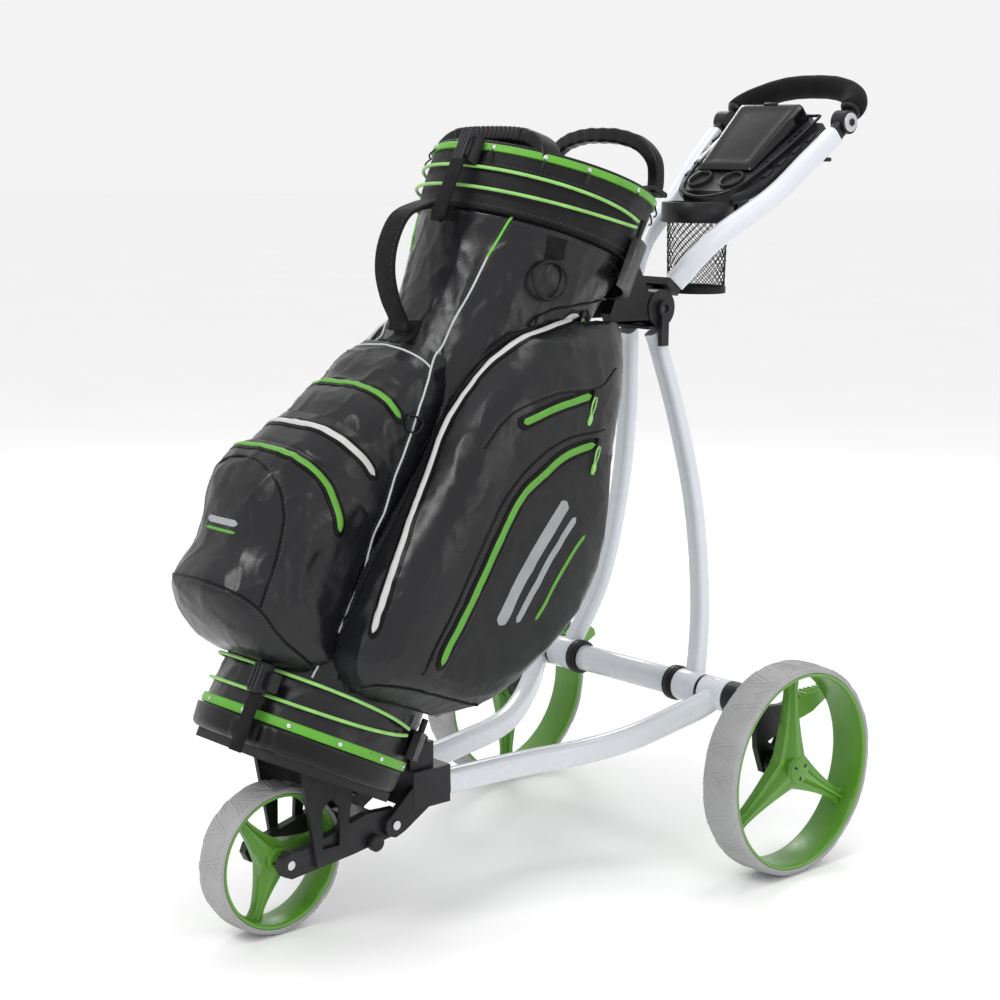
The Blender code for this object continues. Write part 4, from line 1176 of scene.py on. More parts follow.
def carry_handles():
    half = [
        (0.100, 0.169, 0.8545), (0.100, 0.163, 0.874), (0.096, 0.152, 0.896), (0.072, 0.143, 0.914),
        (0.035, 0.137, 0.922),
    ]
    route = bridged(half, (0, 0.135, 0.923))

    def ribbed(t):
        middle = max(0.0, 1 - abs(t - 0.5) / 0.24)
        return 1.0 + (0.035 * math.sin(t * len(route) * 1.15) if middle > 0 else 0.0)

    shape = Shape().add(*sweep(
        route, block_section(0.0160, 0.0200, 0.0045), lambda k: Vector((0, 1, 0.2)), ribbed,
    ))
    for side in (1, -1):
        shape.add(*rounded_box(
            (side * 0.100 - 0.013, 0.156, 0.8545), (side * 0.100 + 0.013, 0.182, 0.862), 0.003,
        ))
    shape.on_bag("rear_handle_loop", "plastic", "black_plastic", replaces=["rear_carry_handle"])
    route = smooth_path(
        [
            (-0.100, -0.024, 0.806), (-0.090, -0.028, 0.824), (-0.062, -0.032, 0.835), (0, -0.032, 0.838),
            (0.062, -0.032, 0.835), (0.090, -0.028, 0.824), (0.100, -0.024, 0.806),
        ],
        0.0016,
    )
    count = len(route)

    def knurl(t):
        return 1.0 + (0.05 * (1 if (t * count) % 5 < 2.4 else -1) if 0.20 < t < 0.80 else 0.0)

    shape = Shape().add(*sweep(
        route, block_section(0.034, 0.020, 0.005), lambda k: Vector((0, 1, 0.2)), knurl,
    ))
    shape.on_bag("front_grip_bar", "plastic", "black_plastic")


def straps():
    """The padded lift strap on the front, its folded end, tabs, rings and the clip with its hanging label."""
    route = smooth_path(
        [
            (0, -0.0865, 0.722), (0, -0.110, 0.706), (0, -0.136, 0.678), (0, -0.140, 0.640),
            (0, -0.129, 0.605), (0, -0.106, 0.577), (0, -0.0815, 0.558), (0, -0.0790, 0.546),
        ],
        0.004,
    )
    section = block_section(0.036, 0.0048, 0.0022)
    shape = Shape().add(*sweep(
        route, section, lambda k: Vector((1, 0, 0)), lambda t: 1.0 + 0.05 * math.sin(math.pi * t),
    ))
    shape.on_bag("lift_strap_band", "webbing", replaces=["lift_strap"])
    edge = Shape()
    for side in (1, -1):
        pts = [p + Vector((side * 0.0155, 0, 0)) for p in route]
        for k in range(2, len(pts) - 2, 2):
            c = pts[k] + Vector((0, -0.0027, 0))
            along = (pts[k + 1] - pts[k - 1]).normalized()
            edge.add(*tube([c - along * 0.0015, c, c + along * 0.0015], 0.0005, 6))
    edge.on_bag("stitch_lift_strap", "thread")
    body = Skin(shell, upper)
    shape = Shape().add(*body.ribbon(
        [(0, -0.080, 0.566), (0, -0.083, 0.548), (0, -0.086, 0.528)], 0.042, 0.0022, 0.003, 0.0008,
    ))
    shape.add(*body.ribbon(
        [(0, -0.080, 0.740), (0, -0.076, 0.722), (0, -0.072, 0.700)], 0.042, 0.0022, 0.003, 0.0008,
    ))
    shape.on_bag("lift_strap_ends", "webbing")
    marks = Shape()
    for low, high in (
        ((-0.016, 0.560), (0.016, 0.532)), ((-0.016, 0.532), (0.016, 0.560)),
        ((-0.017, 0.562), (0.017, 0.562)), ((-0.017, 0.530), (0.017, 0.530)),
    ):
        line = [
            (low[0] + (high[0] - low[0]) * t, -0.086, low[1] + (high[1] - low[1]) * t)
            for t in (0, 0.25, 0.5, 0.75, 1)
        ]
        skin = Skin(bpy.data.objects["lift_strap_ends"])
        part = skin.stitches(line, 0, 0.004, 0.0028, 0.0005)
        marks.add(part.verts, part.faces)
    marks.on_bag("stitch_lift_end", "thread")
    # Towel ring on its tab
    centre, radius, turn = Vector((0.1250, 0.025, 0.668)), 0.024, math.radians(15.3)
    along = Vector((math.sin(turn), math.cos(turn), 0))
    ring = [
        centre + radius * (math.cos(a) * along + math.sin(a) * Vector((0, 0, 1)))
        for a in np.linspace(0, 2 * math.pi, 65)[:-1]
    ]
    Shape().add(*tube(ring, 0.0026, 14, closed=True)).make(
        "towel_ring_loop", "plastic", "towel_ring", "black_plastic", BAG, replaces=["towel_ring"],
    )
    tab = Shape().add(*body.ribbon(
        [(0.121, 0.016, 0.722), (0.120, 0.020, 0.706), (0.119, 0.024, 0.696)], 0.026, 0.0016, 0.003, 0.0006,
    ))
    tab.on_bag("towel_tab", "webbing")
    # D-rings beside the strap
    for word, side in SIDES:
        at, n = Skin(shell, upper).near(Vector((side * 0.093, -0.077, 0.432)))
        d_ring = Shape()
        turn = n.to_track_quat("Z", "Y").to_matrix().to_4x4()
        pts = [
            Vector((-0.010, 0.006, 0.004)), Vector((0.010, 0.006, 0.004)), Vector((0.0105, -0.004, 0.004)),
            Vector((0.005, -0.012, 0.004)), Vector((-0.005, -0.012, 0.004)), Vector((-0.0105, -0.004, 0.004)),
        ]
        ring = [Matrix.Translation(at) @ turn @ p for p in smooth_path(pts, 0.002, closed=True)]
        d_ring.add(*tube(ring, 0.0014, 10, closed=True))
        d_ring.on_bag(f"d_ring_{word}", "plastic", "black_plastic")
    # Clip at the front of the cuff and its hanging label
    clip = Shape().add(*rounded_box((0.020, -0.102, 0.770), (0.046, -0.086, 0.806), 0.003))
    clip.add(*rounded_box((0.024, -0.108, 0.776), (0.042, -0.098, 0.800), 0.003))
    for k in range(4):
        clip.add(*tube(
            [(0.026 + 0.0047 * k, -0.110, 0.768), (0.026 + 0.0047 * k, -0.110, 0.810)], 0.0019, 10,
        ))
    clip.on_bag("front_clip", "plastic", "black_plastic")
    tag = Shape().add(*rounded_box((0.026, -0.1135, 0.690), (0.050, -0.1100, 0.768), 0.0012))
    tag.on_bag("label_tab_top", "webbing")


cuff()
carry_handles()
straps()


def bungee(name, low, high, half_x, half_y, middle_y, slope, reach):
    """Elastic cord drawn round the front in two strands, which close in on a hook at each side."""
    for word, level, way in (("high", high, 1), ("low", low, -1)):
        points = []
        for turn in np.linspace(-reach, reach, 57):
            a = math.radians(turn - 90)
            pinch = (abs(turn) / reach) ** 4
            z = level + ((low + high) / 2 + way * 0.004 - level) * pinch
            points.append(
                BAG @ Vector((
                    half_x * math.cos(a), middle_y + half_y * math.sin(a), z + slope * half_y * math.sin(a),
                ))
            )
        data = bpy.data.curves.new(f"{name}_{word}", "CURVE")
        data.dimensions = "3D"
        data.bevel_depth = 0.0022
        data.bevel_resolution = 4
        data.use_fill_caps = True
        spline = data.splines.new("POLY")
        spline.points.add(len(points) - 1)
        for knot, p in zip(spline.points, points):
            knot.co = (*p, 1)
        data.materials.append(M["cord"])
        obj = bpy.data.objects.new(f"{name}_{word}", data)
        bpy.context.scene.collection.objects.link(obj)
        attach(obj, "bag")
        if way > 0:
            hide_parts(name)
        length = sum((b - a).length for a, b in zip(points, points[1:]))
        tuple(points[0])


bungee("upper_bungee", 0.768, 0.795, 0.1475, 0.1585, 0.067, 0.16, 110)
bungee("lower_bungee", 0.062, 0.094, 0.1350, 0.1360, 0.007, 0.0, 110)


def foot():
    count = 240
    rows = (
        (0.0, 0.100), (0.0, 0.125), (0.0012, 0.130), (0.005, 0.1335), (0.010, 0.1345), (0.018, 0.1350),
        (0.024, 0.1355), (0.0285, 0.1358), (0.0300, 0.1345), (0.0300, 0.120),
    )
    verts = []
    for z, radius in rows:
        for k in range(count):
            a = 2 * math.pi * k / count
            turn = (k - 189) % count
            rib = 0.0018 if 0.004 < z < 0.026 and turn < 20 and turn % 4 < 2 else 0.0
            r = radius - 0.0014 + rib
            verts.append(Vector((r * math.cos(a), r * math.sin(a), z)))
    piece(
        "foot_moulding", verts, loft_faces(len(rows), count), "plastic", "bag", "black_plastic", BAG,
        ["base_foot"],
    )
    rings, uvs = [], []
    for z, proud in (
        (0.0306, 0.0), (0.0316, 0.0018), (0.0368, 0.0022), (0.0420, 0.0018), (0.0430, 0.0), (0.0430, -0.001),
        (0.0306, -0.001),
    ):
        ring = oval((z, 0.132, 0.132, 0.0037, 0.0), proud, 2.0, count)
        rings += ring
        uvs += [(z, 0.83 * k / count) for k in range(count)]
    piece(
        "base_band_strip", rings, loft_faces(7, count, closed=True), "band", "bag", "green_band", BAG,
        ["base_band"], uvs=uvs,
    )
    rivets = Shape()
    for degrees in (200, 228, 255, 285, 312, 340, 8, 36):
        a = math.radians(degrees)
        p = Vector((0.1340 * math.cos(a), 0.0037 + 0.1340 * math.sin(a), 0.0368))
        rivets.add(*disc(*RIVET), matrix=facing(p, Vector((math.cos(a), math.sin(a), 0))))
    rivets.on_bag("base_rivets", "steel", "steel")
    tag = Shape().add(
        *rounded_box((0.0475, -0.1400, -0.012), (0.0700, -0.1365, 0.062), 0.0012),
        matrix=Matrix.Translation((0.0, 0.003, 0)),
    )
    tag.on_bag("label_tab_base", "webbing")
    clip = Shape().add(*rounded_box((0.046, -0.1420, 0.060), (0.066, -0.1260, 0.098), 0.0025))
    clip.add(*rounded_box((0.066, -0.1330, 0.066), (0.078, -0.1200, 0.090), 0.0025))
    for k in range(3):
        clip.add(*tube(
            [(0.0495 + 0.0065 * k, -0.1425, 0.064), (0.0495 + 0.0065 * k, -0.1425, 0.094)], 0.0022, 10,
        ))
    clip.on_bag("base_clip", "plastic", "black_plastic")


foot()


# Wheels


CROWN_FULLNESS = 0.62  # the smaller, the squarer the tyre's section
TREAD_START = 0.1  # angle of the first group of tread lines, in radians


def tyre(name, centre, radius, width, rim_radius, body, node, clusters):
    """A smooth rounded tyre with groups of thin raised lines on its crown and shoulders."""
    half = width / 2
    profile = [
        (rim_radius + 0.0003, -half + 0.001), (rim_radius + 0.0003, half - 0.001),
        (rim_radius + 0.0015, half),
    ]

    def crown_at(a):
        """Radius of the crown and place across it, for an angle over it."""
        x = half * math.copysign(abs(math.cos(a)) ** CROWN_FULLNESS, math.cos(a))
        fall = 1 - abs(math.sin(a)) ** CROWN_FULLNESS
        return radius - 0.0006 - (radius - rim_radius - 0.0022) * fall, x

    profile += [crown_at(math.radians(180 * k / 16)) for k in range(17)] + [(rim_radius + 0.0015, -half)]
    shape = Shape().add(*turned(profile, 144))

    def on_crown(angle, s):
        """A point on the crown: s from -1 to 1 across it."""
        r, x = crown_at(math.acos(max(-1, min(1, s))))
        return Vector((x, r * math.cos(angle), r * math.sin(angle)))

    def outward(angle, s):
        p = on_crown(angle, s)
        q = on_crown(angle, s + 0.01) - on_crown(angle, s - 0.01)
        t = Vector((0, -math.sin(angle), math.cos(angle)))
        n = q.cross(t).normalized()
        return n if n.dot(Vector((0, p.y, p.z))) > 0 or abs(s) > 0.97 else -n

    def line(a0, s0, a1, s1, wide=0.0017, tall=0.0008):
        steps = 7
        ring = []
        for k in range(steps):
            t = k / (steps - 1)
            a, s = a0 + (a1 - a0) * t, s0 + (s1 - s0) * t
            p, n = on_crown(a, s), outward(a, s)
            ahead = on_crown(a0 + (a1 - a0) * min(1, t + 0.05), s0 + (s1 - s0) * min(1, t + 0.05)) - on_crown(
                a0 + (a1 - a0) * max(0, t - 0.05), s0 + (s1 - s0) * max(0, t - 0.05),
            )
            w = ahead.normalized().cross(n) * wide / 2
            ring += [p - w - n * 0.0006, p - w * 0.7 + n * tall, p + w * 0.7 + n * tall, p + w - n * 0.0006]
        shape.add(ring, loft_faces(steps, 4))

    step = 2 * math.pi / clusters
    for k in range(clusters):
        base = TREAD_START + k * step
        flip = 1 if k % 2 else -1
        for j in range(3):
            inset = 0.16 * j
            a, b, c = (base + step * (0.06 + inset), -0.86 * flip), (
                base + step * (0.94 - inset), -0.86 * flip,
            ), (base + step * 0.5, (0.55 - 0.38 * j) * flip)
            line(*a, *c)
            line(*c, *b)
            if j == 0:
                line(*a, *b)
        for j in range(2):
            start = base + step * (0.55 + 0.12 * j)
            line(start, 0.90 * flip, start + step * 0.40, (0.10 + 0.1 * j) * flip, 0.0014)
    return shape.make(name, "tyre", body, "grey_tyre", CART @ Matrix.Translation(centre), replaces=[node])


def rim(name, centre, radius, width, hub, body, node, side, first_spoke):
    """Moulded wheel: a barrel with a lip, three ridged spokes that widen to the hub, and a notched cap."""
    half = width / 2 - 0.001
    barrel = [
        (radius, half - 0.0012), (radius - 0.0006, half), (radius - 0.0034, half),
        (radius - 0.0046, half - 0.0010), (radius - 0.0054, half - 0.0045), (radius - 0.0072, half * 0.45),
        (radius - 0.0078, 0), (radius - 0.0072, -half * 0.45), (radius - 0.0054, -half + 0.0045),
        (radius - 0.0046, -half + 0.0010), (radius - 0.0034, -half), (radius - 0.0006, -half),
        (radius, -half + 0.0012),
    ]
    shape = Shape().add(*turned(barrel, 144))
    steps = 20  # rings along each spoke
    inner, outer = hub * 0.55, radius - 0.0068
    for k in range(3):
        turn = Matrix.Rotation(math.radians(first_spoke + 120 * k), 4, "X")
        ring = []
        for j in range(steps):
            t = j / (steps - 1)
            r = inner + (outer - inner) * t
            wide = hub * (0.40 + 0.92 * (1 - t) ** 1.8) + 0.0045 * max(0, t - 0.82) / 0.18
            deep = width * (0.15 + 0.19 * (1 - t) ** 1.5)
            thick = 0.0016 + 0.0042 * (1 - t) ** 2
            plate = 0.0042 + 0.004 * (1 - t)
            half_spoke = (
                (-plate, -wide), (-plate - 0.0008, -wide * 0.93), (-plate - 0.0004, -thick * 2.2),
                (-deep + 0.0008, -thick), (-deep, -thick * 0.7),
            )
            corners = [*half_spoke, *[(x, -y) for x, y in reversed(half_spoke)]]
            corners += [(-x, y) for x, y in reversed(corners)]
            ring += [turn @ Vector((x, y, r)) for x, y in corners]
        shape.add(ring, loft_faces(steps, 20))
    tall = width * 0.36
    body_of_hub = [
        (0.0064, tall - 0.001), (hub - 0.002, tall - 0.001), (hub - 0.0006, tall - 0.0022),
        (hub, tall - 0.005), (hub, -tall + 0.005), (hub - 0.0006, -tall + 0.0022),
        (hub - 0.002, -tall + 0.001), (0.0064, -tall + 0.001),
    ]
    shape.add(*turned(body_of_hub, 64))
    obj = shape.make(name, "rim", body, "green_plastic", CART @ Matrix.Translation(centre), replaces=[node])
    cap = Shape()
    marks = Shape()
    for way in (side,) if side else (1, -1):
        place = (way * (tall - 0.0016), 0, 0)
        cap.add(*disc(hub * 0.92, 0.0026, 0.0016, 0.0010, 48, "X" if way > 0 else "-X", place))
        for k in range(3):
            a = math.radians(first_spoke + 60 + 120 * k)
            notch = rounded_box((-0.0028, -0.0016, 0), (0.0028, 0.0016, 0.0012), 0.0004)
            at = Matrix.Rotation(a, 4, "X") @ Matrix.Translation((
                way * (tall + 0.0016), 0, hub * 0.55,
            )) @ Matrix.Rotation(way * math.pi / 2, 4, "Y")
            marks.add(*notch, matrix=at)
    cap.make(f"{name}_cap", "rim", body, "green_plastic", CART @ Matrix.Translation(centre))
    marks.make(f"{name}_marks", "plastic", body, "black_plastic", CART @ Matrix.Translation(centre))
    return obj


def wheels():
    for word, side in SIDES:
        centre = Vector((side * REAR_HUB.x, 0, REAR_HUB.z))
        body = f"rear_wheel_{word}"
        tyre(f"tyre_{word}_tread", centre, 0.145, 0.0566, 0.135, body, f"tyre_rear_{word}", 18)
        rim(
            f"rim_{word}_spoked", centre, 0.135, 0.0566, 0.0195, body, f"rim_rear_{word}", side,
            0 if side > 0 else 180,
        )
    tyre("tyre_front_tread", FRONT_HUB, 0.0953, 0.0472, 0.0865, "front_wheel", "tyre_front", 14)
    rim("rim_front_spoked", FRONT_HUB, 0.0865, 0.0472, 0.016, "front_wheel", "rim_front", 0, -80)


wheels()


# Tubes of the cart


def sleeve(inner, outer, half, corner=0.0012, steps=64):
    """A pipe with rounded edges, along X."""
    profile = [
        (inner, -half), (inner, half), (outer - corner, half), (outer - corner * 0.3, half - corner * 0.3),
        (outer, half - corner), (outer, -half + corner), (outer - corner * 0.3, -half + corner * 0.3),
        (outer - corner, -half),
    ]
    return turned(profile, steps)


def on_crossbar(x):
    return Matrix.Translation((x, CROSSBAR.y, CROSSBAR.z))


def tubes():
    low = [
        (0.174, -0.030, 0.228), (0.163, -0.050, 0.214), (0.143, -0.077, 0.198), (0.113, -0.130, 0.174),
        (0.085, -0.195, 0.160), (0.060, -0.294, 0.156), (0.041, -0.4050, 0.151),
    ]
    up = [
        (0.1255, -0.022, 0.234), (0.1215, -0.012, 0.252), (0.098, 0.018, 0.343), (0.074, 0.027, 0.470),
        (0.050, 0.016, 0.590), (0.028, -0.006, 0.700), (0.0245, -0.0125, 0.7185),
    ]
    top = [
        (0.0405, 0.0113, 0.7870), (0.0455, 0.0215, 0.7985), (0.065, 0.066, 0.846), (0.090, 0.156, 0.904),
        (0.104, 0.216, 0.955), (0.112, 0.262, 0.991),
    ]
    for word, side in SIDES:
        def flip(route):
            return smooth_path(mirrored(route, side), 0.006)

        shape = Shape().add(*sweep(flip(low), block_section(0.025, 0.034, 0.010)))
        shape.add(*sleeve(0.0173, 0.0225, 0.022), matrix=on_crossbar(side * 0.174))
        shape.make(
            f"lower_tube_{word}_drawn", "paint", "chassis", "white_paint", replaces=[f"lower_tube_{word}"],
        )
        shape = Shape().add(*sweep(flip(up), block_section(0.026, 0.022, 0.008), lambda k: Vector((1, 0, 0))))
        shape.add(*sleeve(0.0173, 0.0225, 0.0207), matrix=on_crossbar(side * 0.1255))
        shape.make(f"upright_{word}_drawn", "paint", "uprights", "white_paint", replaces=[f"upright_{word}"])
        shape = Shape().add(*sweep(flip(top), block_section(0.022, 0.030, 0.009)))
        shape.make(
            f"handle_tube_{word}_drawn", "paint", "handle", "white_paint", replaces=[f"handle_tube_{word}"],
        )
        ring = Shape().add(*sleeve(0.0172, 0.0208, 0.0026, 0.0006), matrix=on_crossbar(side * 0.1491))
        ring.make(f"spacer_ring_{word}", "plastic", "chassis", "black_plastic")
        collar = Shape()
        for k, (x, half, r) in enumerate((
            (0.0964, 0.0040, 0.0246), (0.0905, 0.0015, 0.0240), (0.1023, 0.0015, 0.0240),
        )):
            collar.add(*sleeve(0.0173, r, half, 0.0007), matrix=on_crossbar(side * x))
        collar.add(*sleeve(0.0173, 0.0230, 0.0075, 0.0006), matrix=on_crossbar(side * 0.0964))
        collar.make(
            f"collar_{word}_ribbed", "plastic", "chassis", "black_plastic", replaces=[f"collar_{word}"],
        )
        # Clamp at the handle's end: cam ring, bolt and a plug in the tube's underside
        centre = Vector((side * 0.112, 0.283, 1.010))
        facing_out = "X" if side > 0 else "-X"
        for name, size, out, finish, slot in (
            ("cam", (0.0135, 0.0034, 0.0006, 0.001, 40), 0.0105, "silver", "silver_plastic"),
            ("bolt", (0.0058, 0.0034, 0.0010, 0.0010, 6), 0.0130, "plastic", "black_plastic"),
        ):
            button = Shape().add(*disc(*size, facing_out, centre + Vector((side * out, 0, 0))))
            button.make(f"grip_{name}_{word}", finish, "handle", slot)
        plug = Shape().add(*rounded_box(
            (side * 0.112 - 0.005, 0.240, 0.954), (side * 0.112 + 0.005, 0.252, 0.960), 0.0015,
        ))
        plug.make(f"tube_plug_{word}", "plastic", "handle", "black_plastic")
    core, bar, end, shoulder = 0.017, 0.019, 0.197, 0.088
    profile = [
        (0.0005, end), (core - 0.001, end), (core, end - 0.001), (core, shoulder + 0.001),
        (bar - 0.0004, shoulder), (bar, shoulder - 0.001), (bar, -shoulder + 0.001),
        (bar - 0.0004, -shoulder), (core, -shoulder - 0.001), (core, -end + 0.001), (core - 0.001, -end),
        (0.0005, -end),
    ]
    shape = Shape().add(*turned(profile, 64), matrix=Matrix.Translation(CROSSBAR))
    shape.make("crossbar_drawn", "paint", "chassis", "white_paint", replaces=["crossbar"])


tubes()


# Console, net and foam bar


def console_details():
    foam = [(0.109, 0.300, 1.026), (0.105, 0.317, 1.0375), (0.082, 0.337, 1.051), (0.045, 0.346, 1.0605)]
    route = bridged(foam, (0, 0.348, 1.063))

    def swelling(t):
        edge = min(t, 1 - t) / 0.018
        return (0.72 + 0.28 * math.sqrt(max(0, 1 - (1 - min(1, edge)) ** 2))) * (1 + 0.008 * math.sin(t * 60))

    shape = Shape().add(*tube(route, 0.0173, 32, taper=swelling))
    bar = shape.make("foam_bar", "foam", "grip", "black_foam", replaces=["grip_foam"])
    ends = Shape()
    for k, way in ((0, 1), (-1, -1)):
        p, q = route[k], route[way if k == 0 else k - 1]
        ends.add(*tube(
            [p - (q - p).normalized() * d for d in (-0.003, 0.0, 0.002, 0.0035)], 0.0150, 28,
            taper=lambda t: 1 - 0.3 * t * t,
        ))
    ends.make("foam_end_caps", "plastic", "grip", "black_plastic")

    net = Shape()
    top, bottom, high, low = 0.0425, 0.0405, 0.0520, -0.0460
    centre = Matrix.Translation((0, 0.100, 0.82))
    strands, levels = 26, 18
    for way in (1, -1):
        for k in range(strands):
            pts = []
            for j in range(levels + 1):
                t = j / levels
                a = 2 * math.pi * (k / strands + way * 0.36 * t)
                r = bottom + (top - bottom) * t + 0.0006 * way * math.sin(j * math.pi / 2)
                pts.append((r * math.cos(a), r * math.sin(a), low + (high - low) * t))
            net.add(*tube(pts, 0.00062, 5))
    hoop = turned(
        [
            (0.0440, 0.0470), (0.0505, 0.0470), (0.0518, 0.0482), (0.0518, 0.0748), (0.0505, 0.0760),
            (0.0440, 0.0760),
        ],
        96, "Z",
    )
    Shape().add(*hoop).make("bottle_hoop", "plastic", "handle", "black_plastic", CART @ centre)
    net.add(*turned([(0.0415, 0.0500), (0.0440, 0.0500), (0.0440, 0.0540), (0.0415, 0.0540)], 72, "Z"))
    net.add(*turned(
        [(0.0395, -0.0530), (0.0428, -0.0530), (0.0428, -0.0440), (0.0412, -0.0430), (0.0395, -0.0440)], 72,
        "Z",
    ))
    for k in range(-6, 7):
        reach = math.sqrt(max(0, 0.0395**2 - (k * 0.0062) ** 2))
        net.add(*tube([(-reach, k * 0.0062, -0.0505), (reach, k * 0.0062, -0.0505)], 0.0007, 5))
        net.add(*tube([(k * 0.0062, -reach, -0.0500), (k * 0.0062, reach, -0.0500)], 0.0007, 5))
    soft_net = net.make(
        "bottle_net_mesh", "net", "handle", "black_net", CART @ centre, replaces=["bottle_net"],
    )
    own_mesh(soft_net)

    # Lid: a softly domed glossy skin with a raised border and a thumb catch
    lid_frame = CONSOLE @ Matrix.Translation((0, 0.088, 0.0165)) @ Matrix.Rotation(LID_TILT, 4, "X")
    rows, cols = 29, 25
    verts, faces = [], []
    for j in range(rows):
        y = 0.140 * j / (rows - 1)
        half = 0.050 + 0.010 * min(1, y / 0.132) if y < 0.132 else 0.060 - 0.010 * ((y - 0.132) / 0.008) ** 2
        for k in range(cols):
            s = 2 * k / (cols - 1) - 1
            edge = min(1.0, (1 - abs(s)) * half / 0.007, y / 0.007, (0.140 - y) / 0.007)
            rise = math.sqrt(max(0, 1 - (1 - edge) ** 2))
            dome = 0.0022 * (1 - s * s) * math.sin(math.pi * y / 0.140)
            dish = -0.0012 * clamp((1 - abs(s)) * half / 0.004 - 3.0) * min(
                1.0, max(0.0, y / 0.004 - 3.0), max(0.0, (0.140 - y) / 0.004 - 3.0),
            )
            verts.append((s * half, y, -0.0005 + 0.0040 * rise + dome + dish))
    for j in range(rows - 1):
        for k in range(cols - 1):
            a = j * cols + k
            faces.append((a, a + 1, a + cols + 1, a + cols))
    start = len(verts)
    verts += [(x, y, -0.0040 - y * math.tan(LID_TILT)) for x, y, _ in verts]
    faces += [tuple(start + k for k in f) for f in list(faces)]
    rim_loop = grid_border(rows, cols)
    for a, b in zip(rim_loop, rim_loop[1:] + rim_loop[:1]):
        faces.append((a, b, start + b, start + a))
    Shape().add(verts, faces).make(
        "lid_domed", "gloss", "console_lid", "black_plastic", lid_frame, replaces=["console_lid"],
    )
    catch = Shape().add(*rounded_box((-0.012, 0.134, 0.001), (0.012, 0.1385, 0.0052), 0.001))
    catch.make("lid_catch", "plastic", "console_lid", "black_plastic", lid_frame)

    # Raised border, ball cups and tee holes on the console
    trim = Shape()
    outline = [
        (-0.048, 0.045), (0.048, 0.045), (0.0755, 0.212), (0.054, 0.232), (-0.054, 0.232), (-0.0755, 0.212),
    ]
    border = smooth_path([(x, y, 0.0125) for x, y in outline], 0.006, closed=True)
    trim.add(*tube(border, 0.0022, 10, closed=True))
    for side in (1, -1):
        cup = turned(
            [
                (0.0150, -0.004), (0.0185, -0.004), (0.0195, 0.0005), (0.0185, 0.004), (0.0165, 0.0045),
                (0.0150, 0.003),
            ],
            44, "Z",
        )
        trim.add(*cup, matrix=Matrix.Translation((side * 0.030, 0.066, 0.0125)))
        for k in range(3):
            tee = turned([(0.0022, 0.0), (0.0038, 0.0), (0.0038, 0.003), (0.0022, 0.003)], 20, "Z")
            trim.add(*tee, matrix=Matrix.Translation((side * 0.0655, 0.168 + 0.012 * k, 0.0118)))
        trim.add(*rounded_box(
            (side * 0.0635 - 0.0045, 0.112, 0.010), (side * 0.0635 + 0.0045, 0.118, 0.0150), 0.001,
        ))
    trim.make("console_trim", "plastic", "handle", "black_plastic", CONSOLE)
    # Side plates that fill the space out to the handle tubes
    wings = Shape()
    for side in (1, -1):
        outline = [
            (0.046, 0.036), (0.066, 0.050), (0.0790, 0.078), (0.0905, 0.147), (0.0975, 0.196),
            (0.0930, 0.214), (0.080, 0.226), (0.062, 0.228),
        ]
        edge = [Vector((side * x, y, 0)) for x, y in outline]
        inner = Vector((side * 0.050, 0.130, 0))
        rings = []
        for z, pull in ((-0.0095, 0.03), (-0.0075, 0), (0.0035, 0), (0.0060, 0.03), (0.0062, 0.08)):
            rings += [Vector((p.x, p.y, z)).lerp(Vector((inner.x, inner.y, z)), pull) for p in edge]
        wings.add(rings, loft_faces(5, len(edge)))
        for k in range(4):
            y = 0.092 + 0.030 * k
            x = 0.0745 + 0.165 * (y - 0.092)
            wings.add(*rounded_box(
                (side * x - 0.0035, y - 0.009, 0.0050), (side * x + 0.0035, y + 0.009, 0.0088), 0.0012,
            ))
    wings.make("console_wings", "plastic", "handle", "black_plastic", CONSOLE)
    tip = Shape().add(*tube(
        [(-0.063, 0.1925, 0.0165), (-0.063, 0.196, 0.0165), (-0.063, 0.200, 0.0165)], 0.0034, 14,
        taper=lambda t: 1 - 0.85 * t,
    ))
    tip.make("pencil_tip", "plastic", "handle", "black_plastic", CONSOLE)


console_details()


# Carried-over CAD nodes keep their shape, with softened edges and the same finishes

CAD_FINISH = {
    "plastic": (
        "front_yoke", "fork", "bag_tray", "lower_cradle", "tracking_knob", "wheel_arm_left",
        "wheel_arm_right", "end_bracket_left", "end_bracket_right", "upper_bracket", "hinge_lever",
        "handle_knuckle", "console", "grip_socket_left", "grip_socket_right",
    ),
    "steel": (
        "front_axle", "rear_axle_left", "rear_axle_right", "wheel_hinge_pin_left", "wheel_hinge_pin_right",
        "upper_hinge_pin", "fork_pin",
    ),
    "rim": ("brake_pedal_left", "brake_pedal_right"), "cuff": ("top_divider",), "silver": ("pencil",),
}
for finish_name, names in CAD_FINISH.items():
    for node_name in names:
        node = NODES[node_name]
        node.data.materials.clear()
        node.data.materials.append(M[finish_name])
        node.data.shade_smooth()
        node.data.set_sharp_from_angle(angle=math.radians(30))
        soften = node.modifiers.new("soften", "BEVEL")
        soften.width = 0.0006 if node_name != "top_divider" else 0.002
        soften.segments = 2
        soften.limit_method = "ANGLE"
        soften.angle_limit = math.radians(35)
        soften.harden_normals = True


def pedal_pads():
    for word, side in SIDES:
        pad = Shape()
        for k in range(7):
            y = 0.072 + 0.009 * k
            pad.add(*rounded_box(
                (side * 0.2325 - 0.0085, y - 0.0018, 0.222 + 0.0010 * k),
                (side * 0.2325 + 0.0085, y + 0.0018, 0.2278 if k > 1 else 0.2262), 0.0006,
            ))
        pad.make(f"pedal_ribs_{word}", "rim", f"brake_pedal_{word}", "green_plastic")


pedal_pads()


def floor():
    mesh = bpy.data.meshes.new("floor")
    mesh.from_pydata([(-40, -40, 0), (40, -40, 0), (40, 40, 0), (-40, 40, 0)], [], [(0, 1, 2, 3)])
    mesh.materials.append(M["floor"])
    obj = bpy.data.objects.new("floor", mesh)
    bpy.context.scene.collection.objects.link(obj)


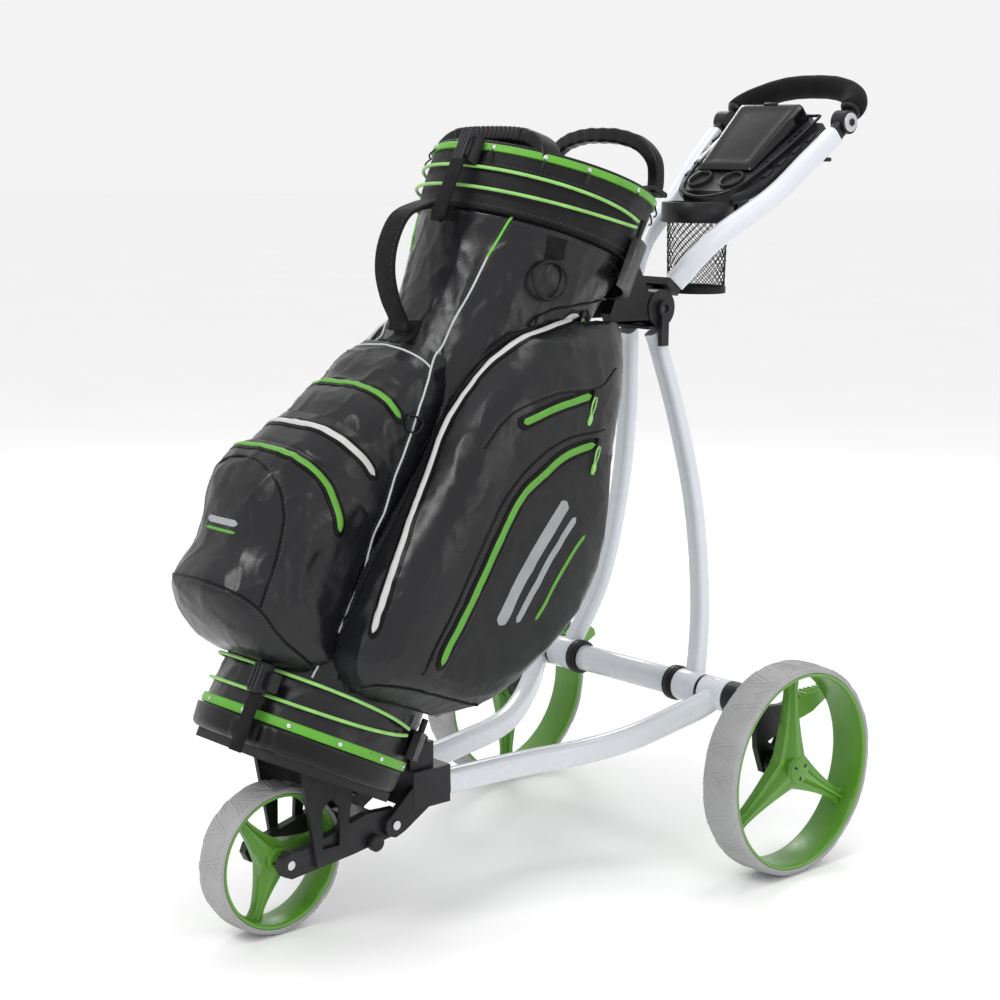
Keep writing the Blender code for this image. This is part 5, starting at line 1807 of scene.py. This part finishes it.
floor()
camera()
studio()
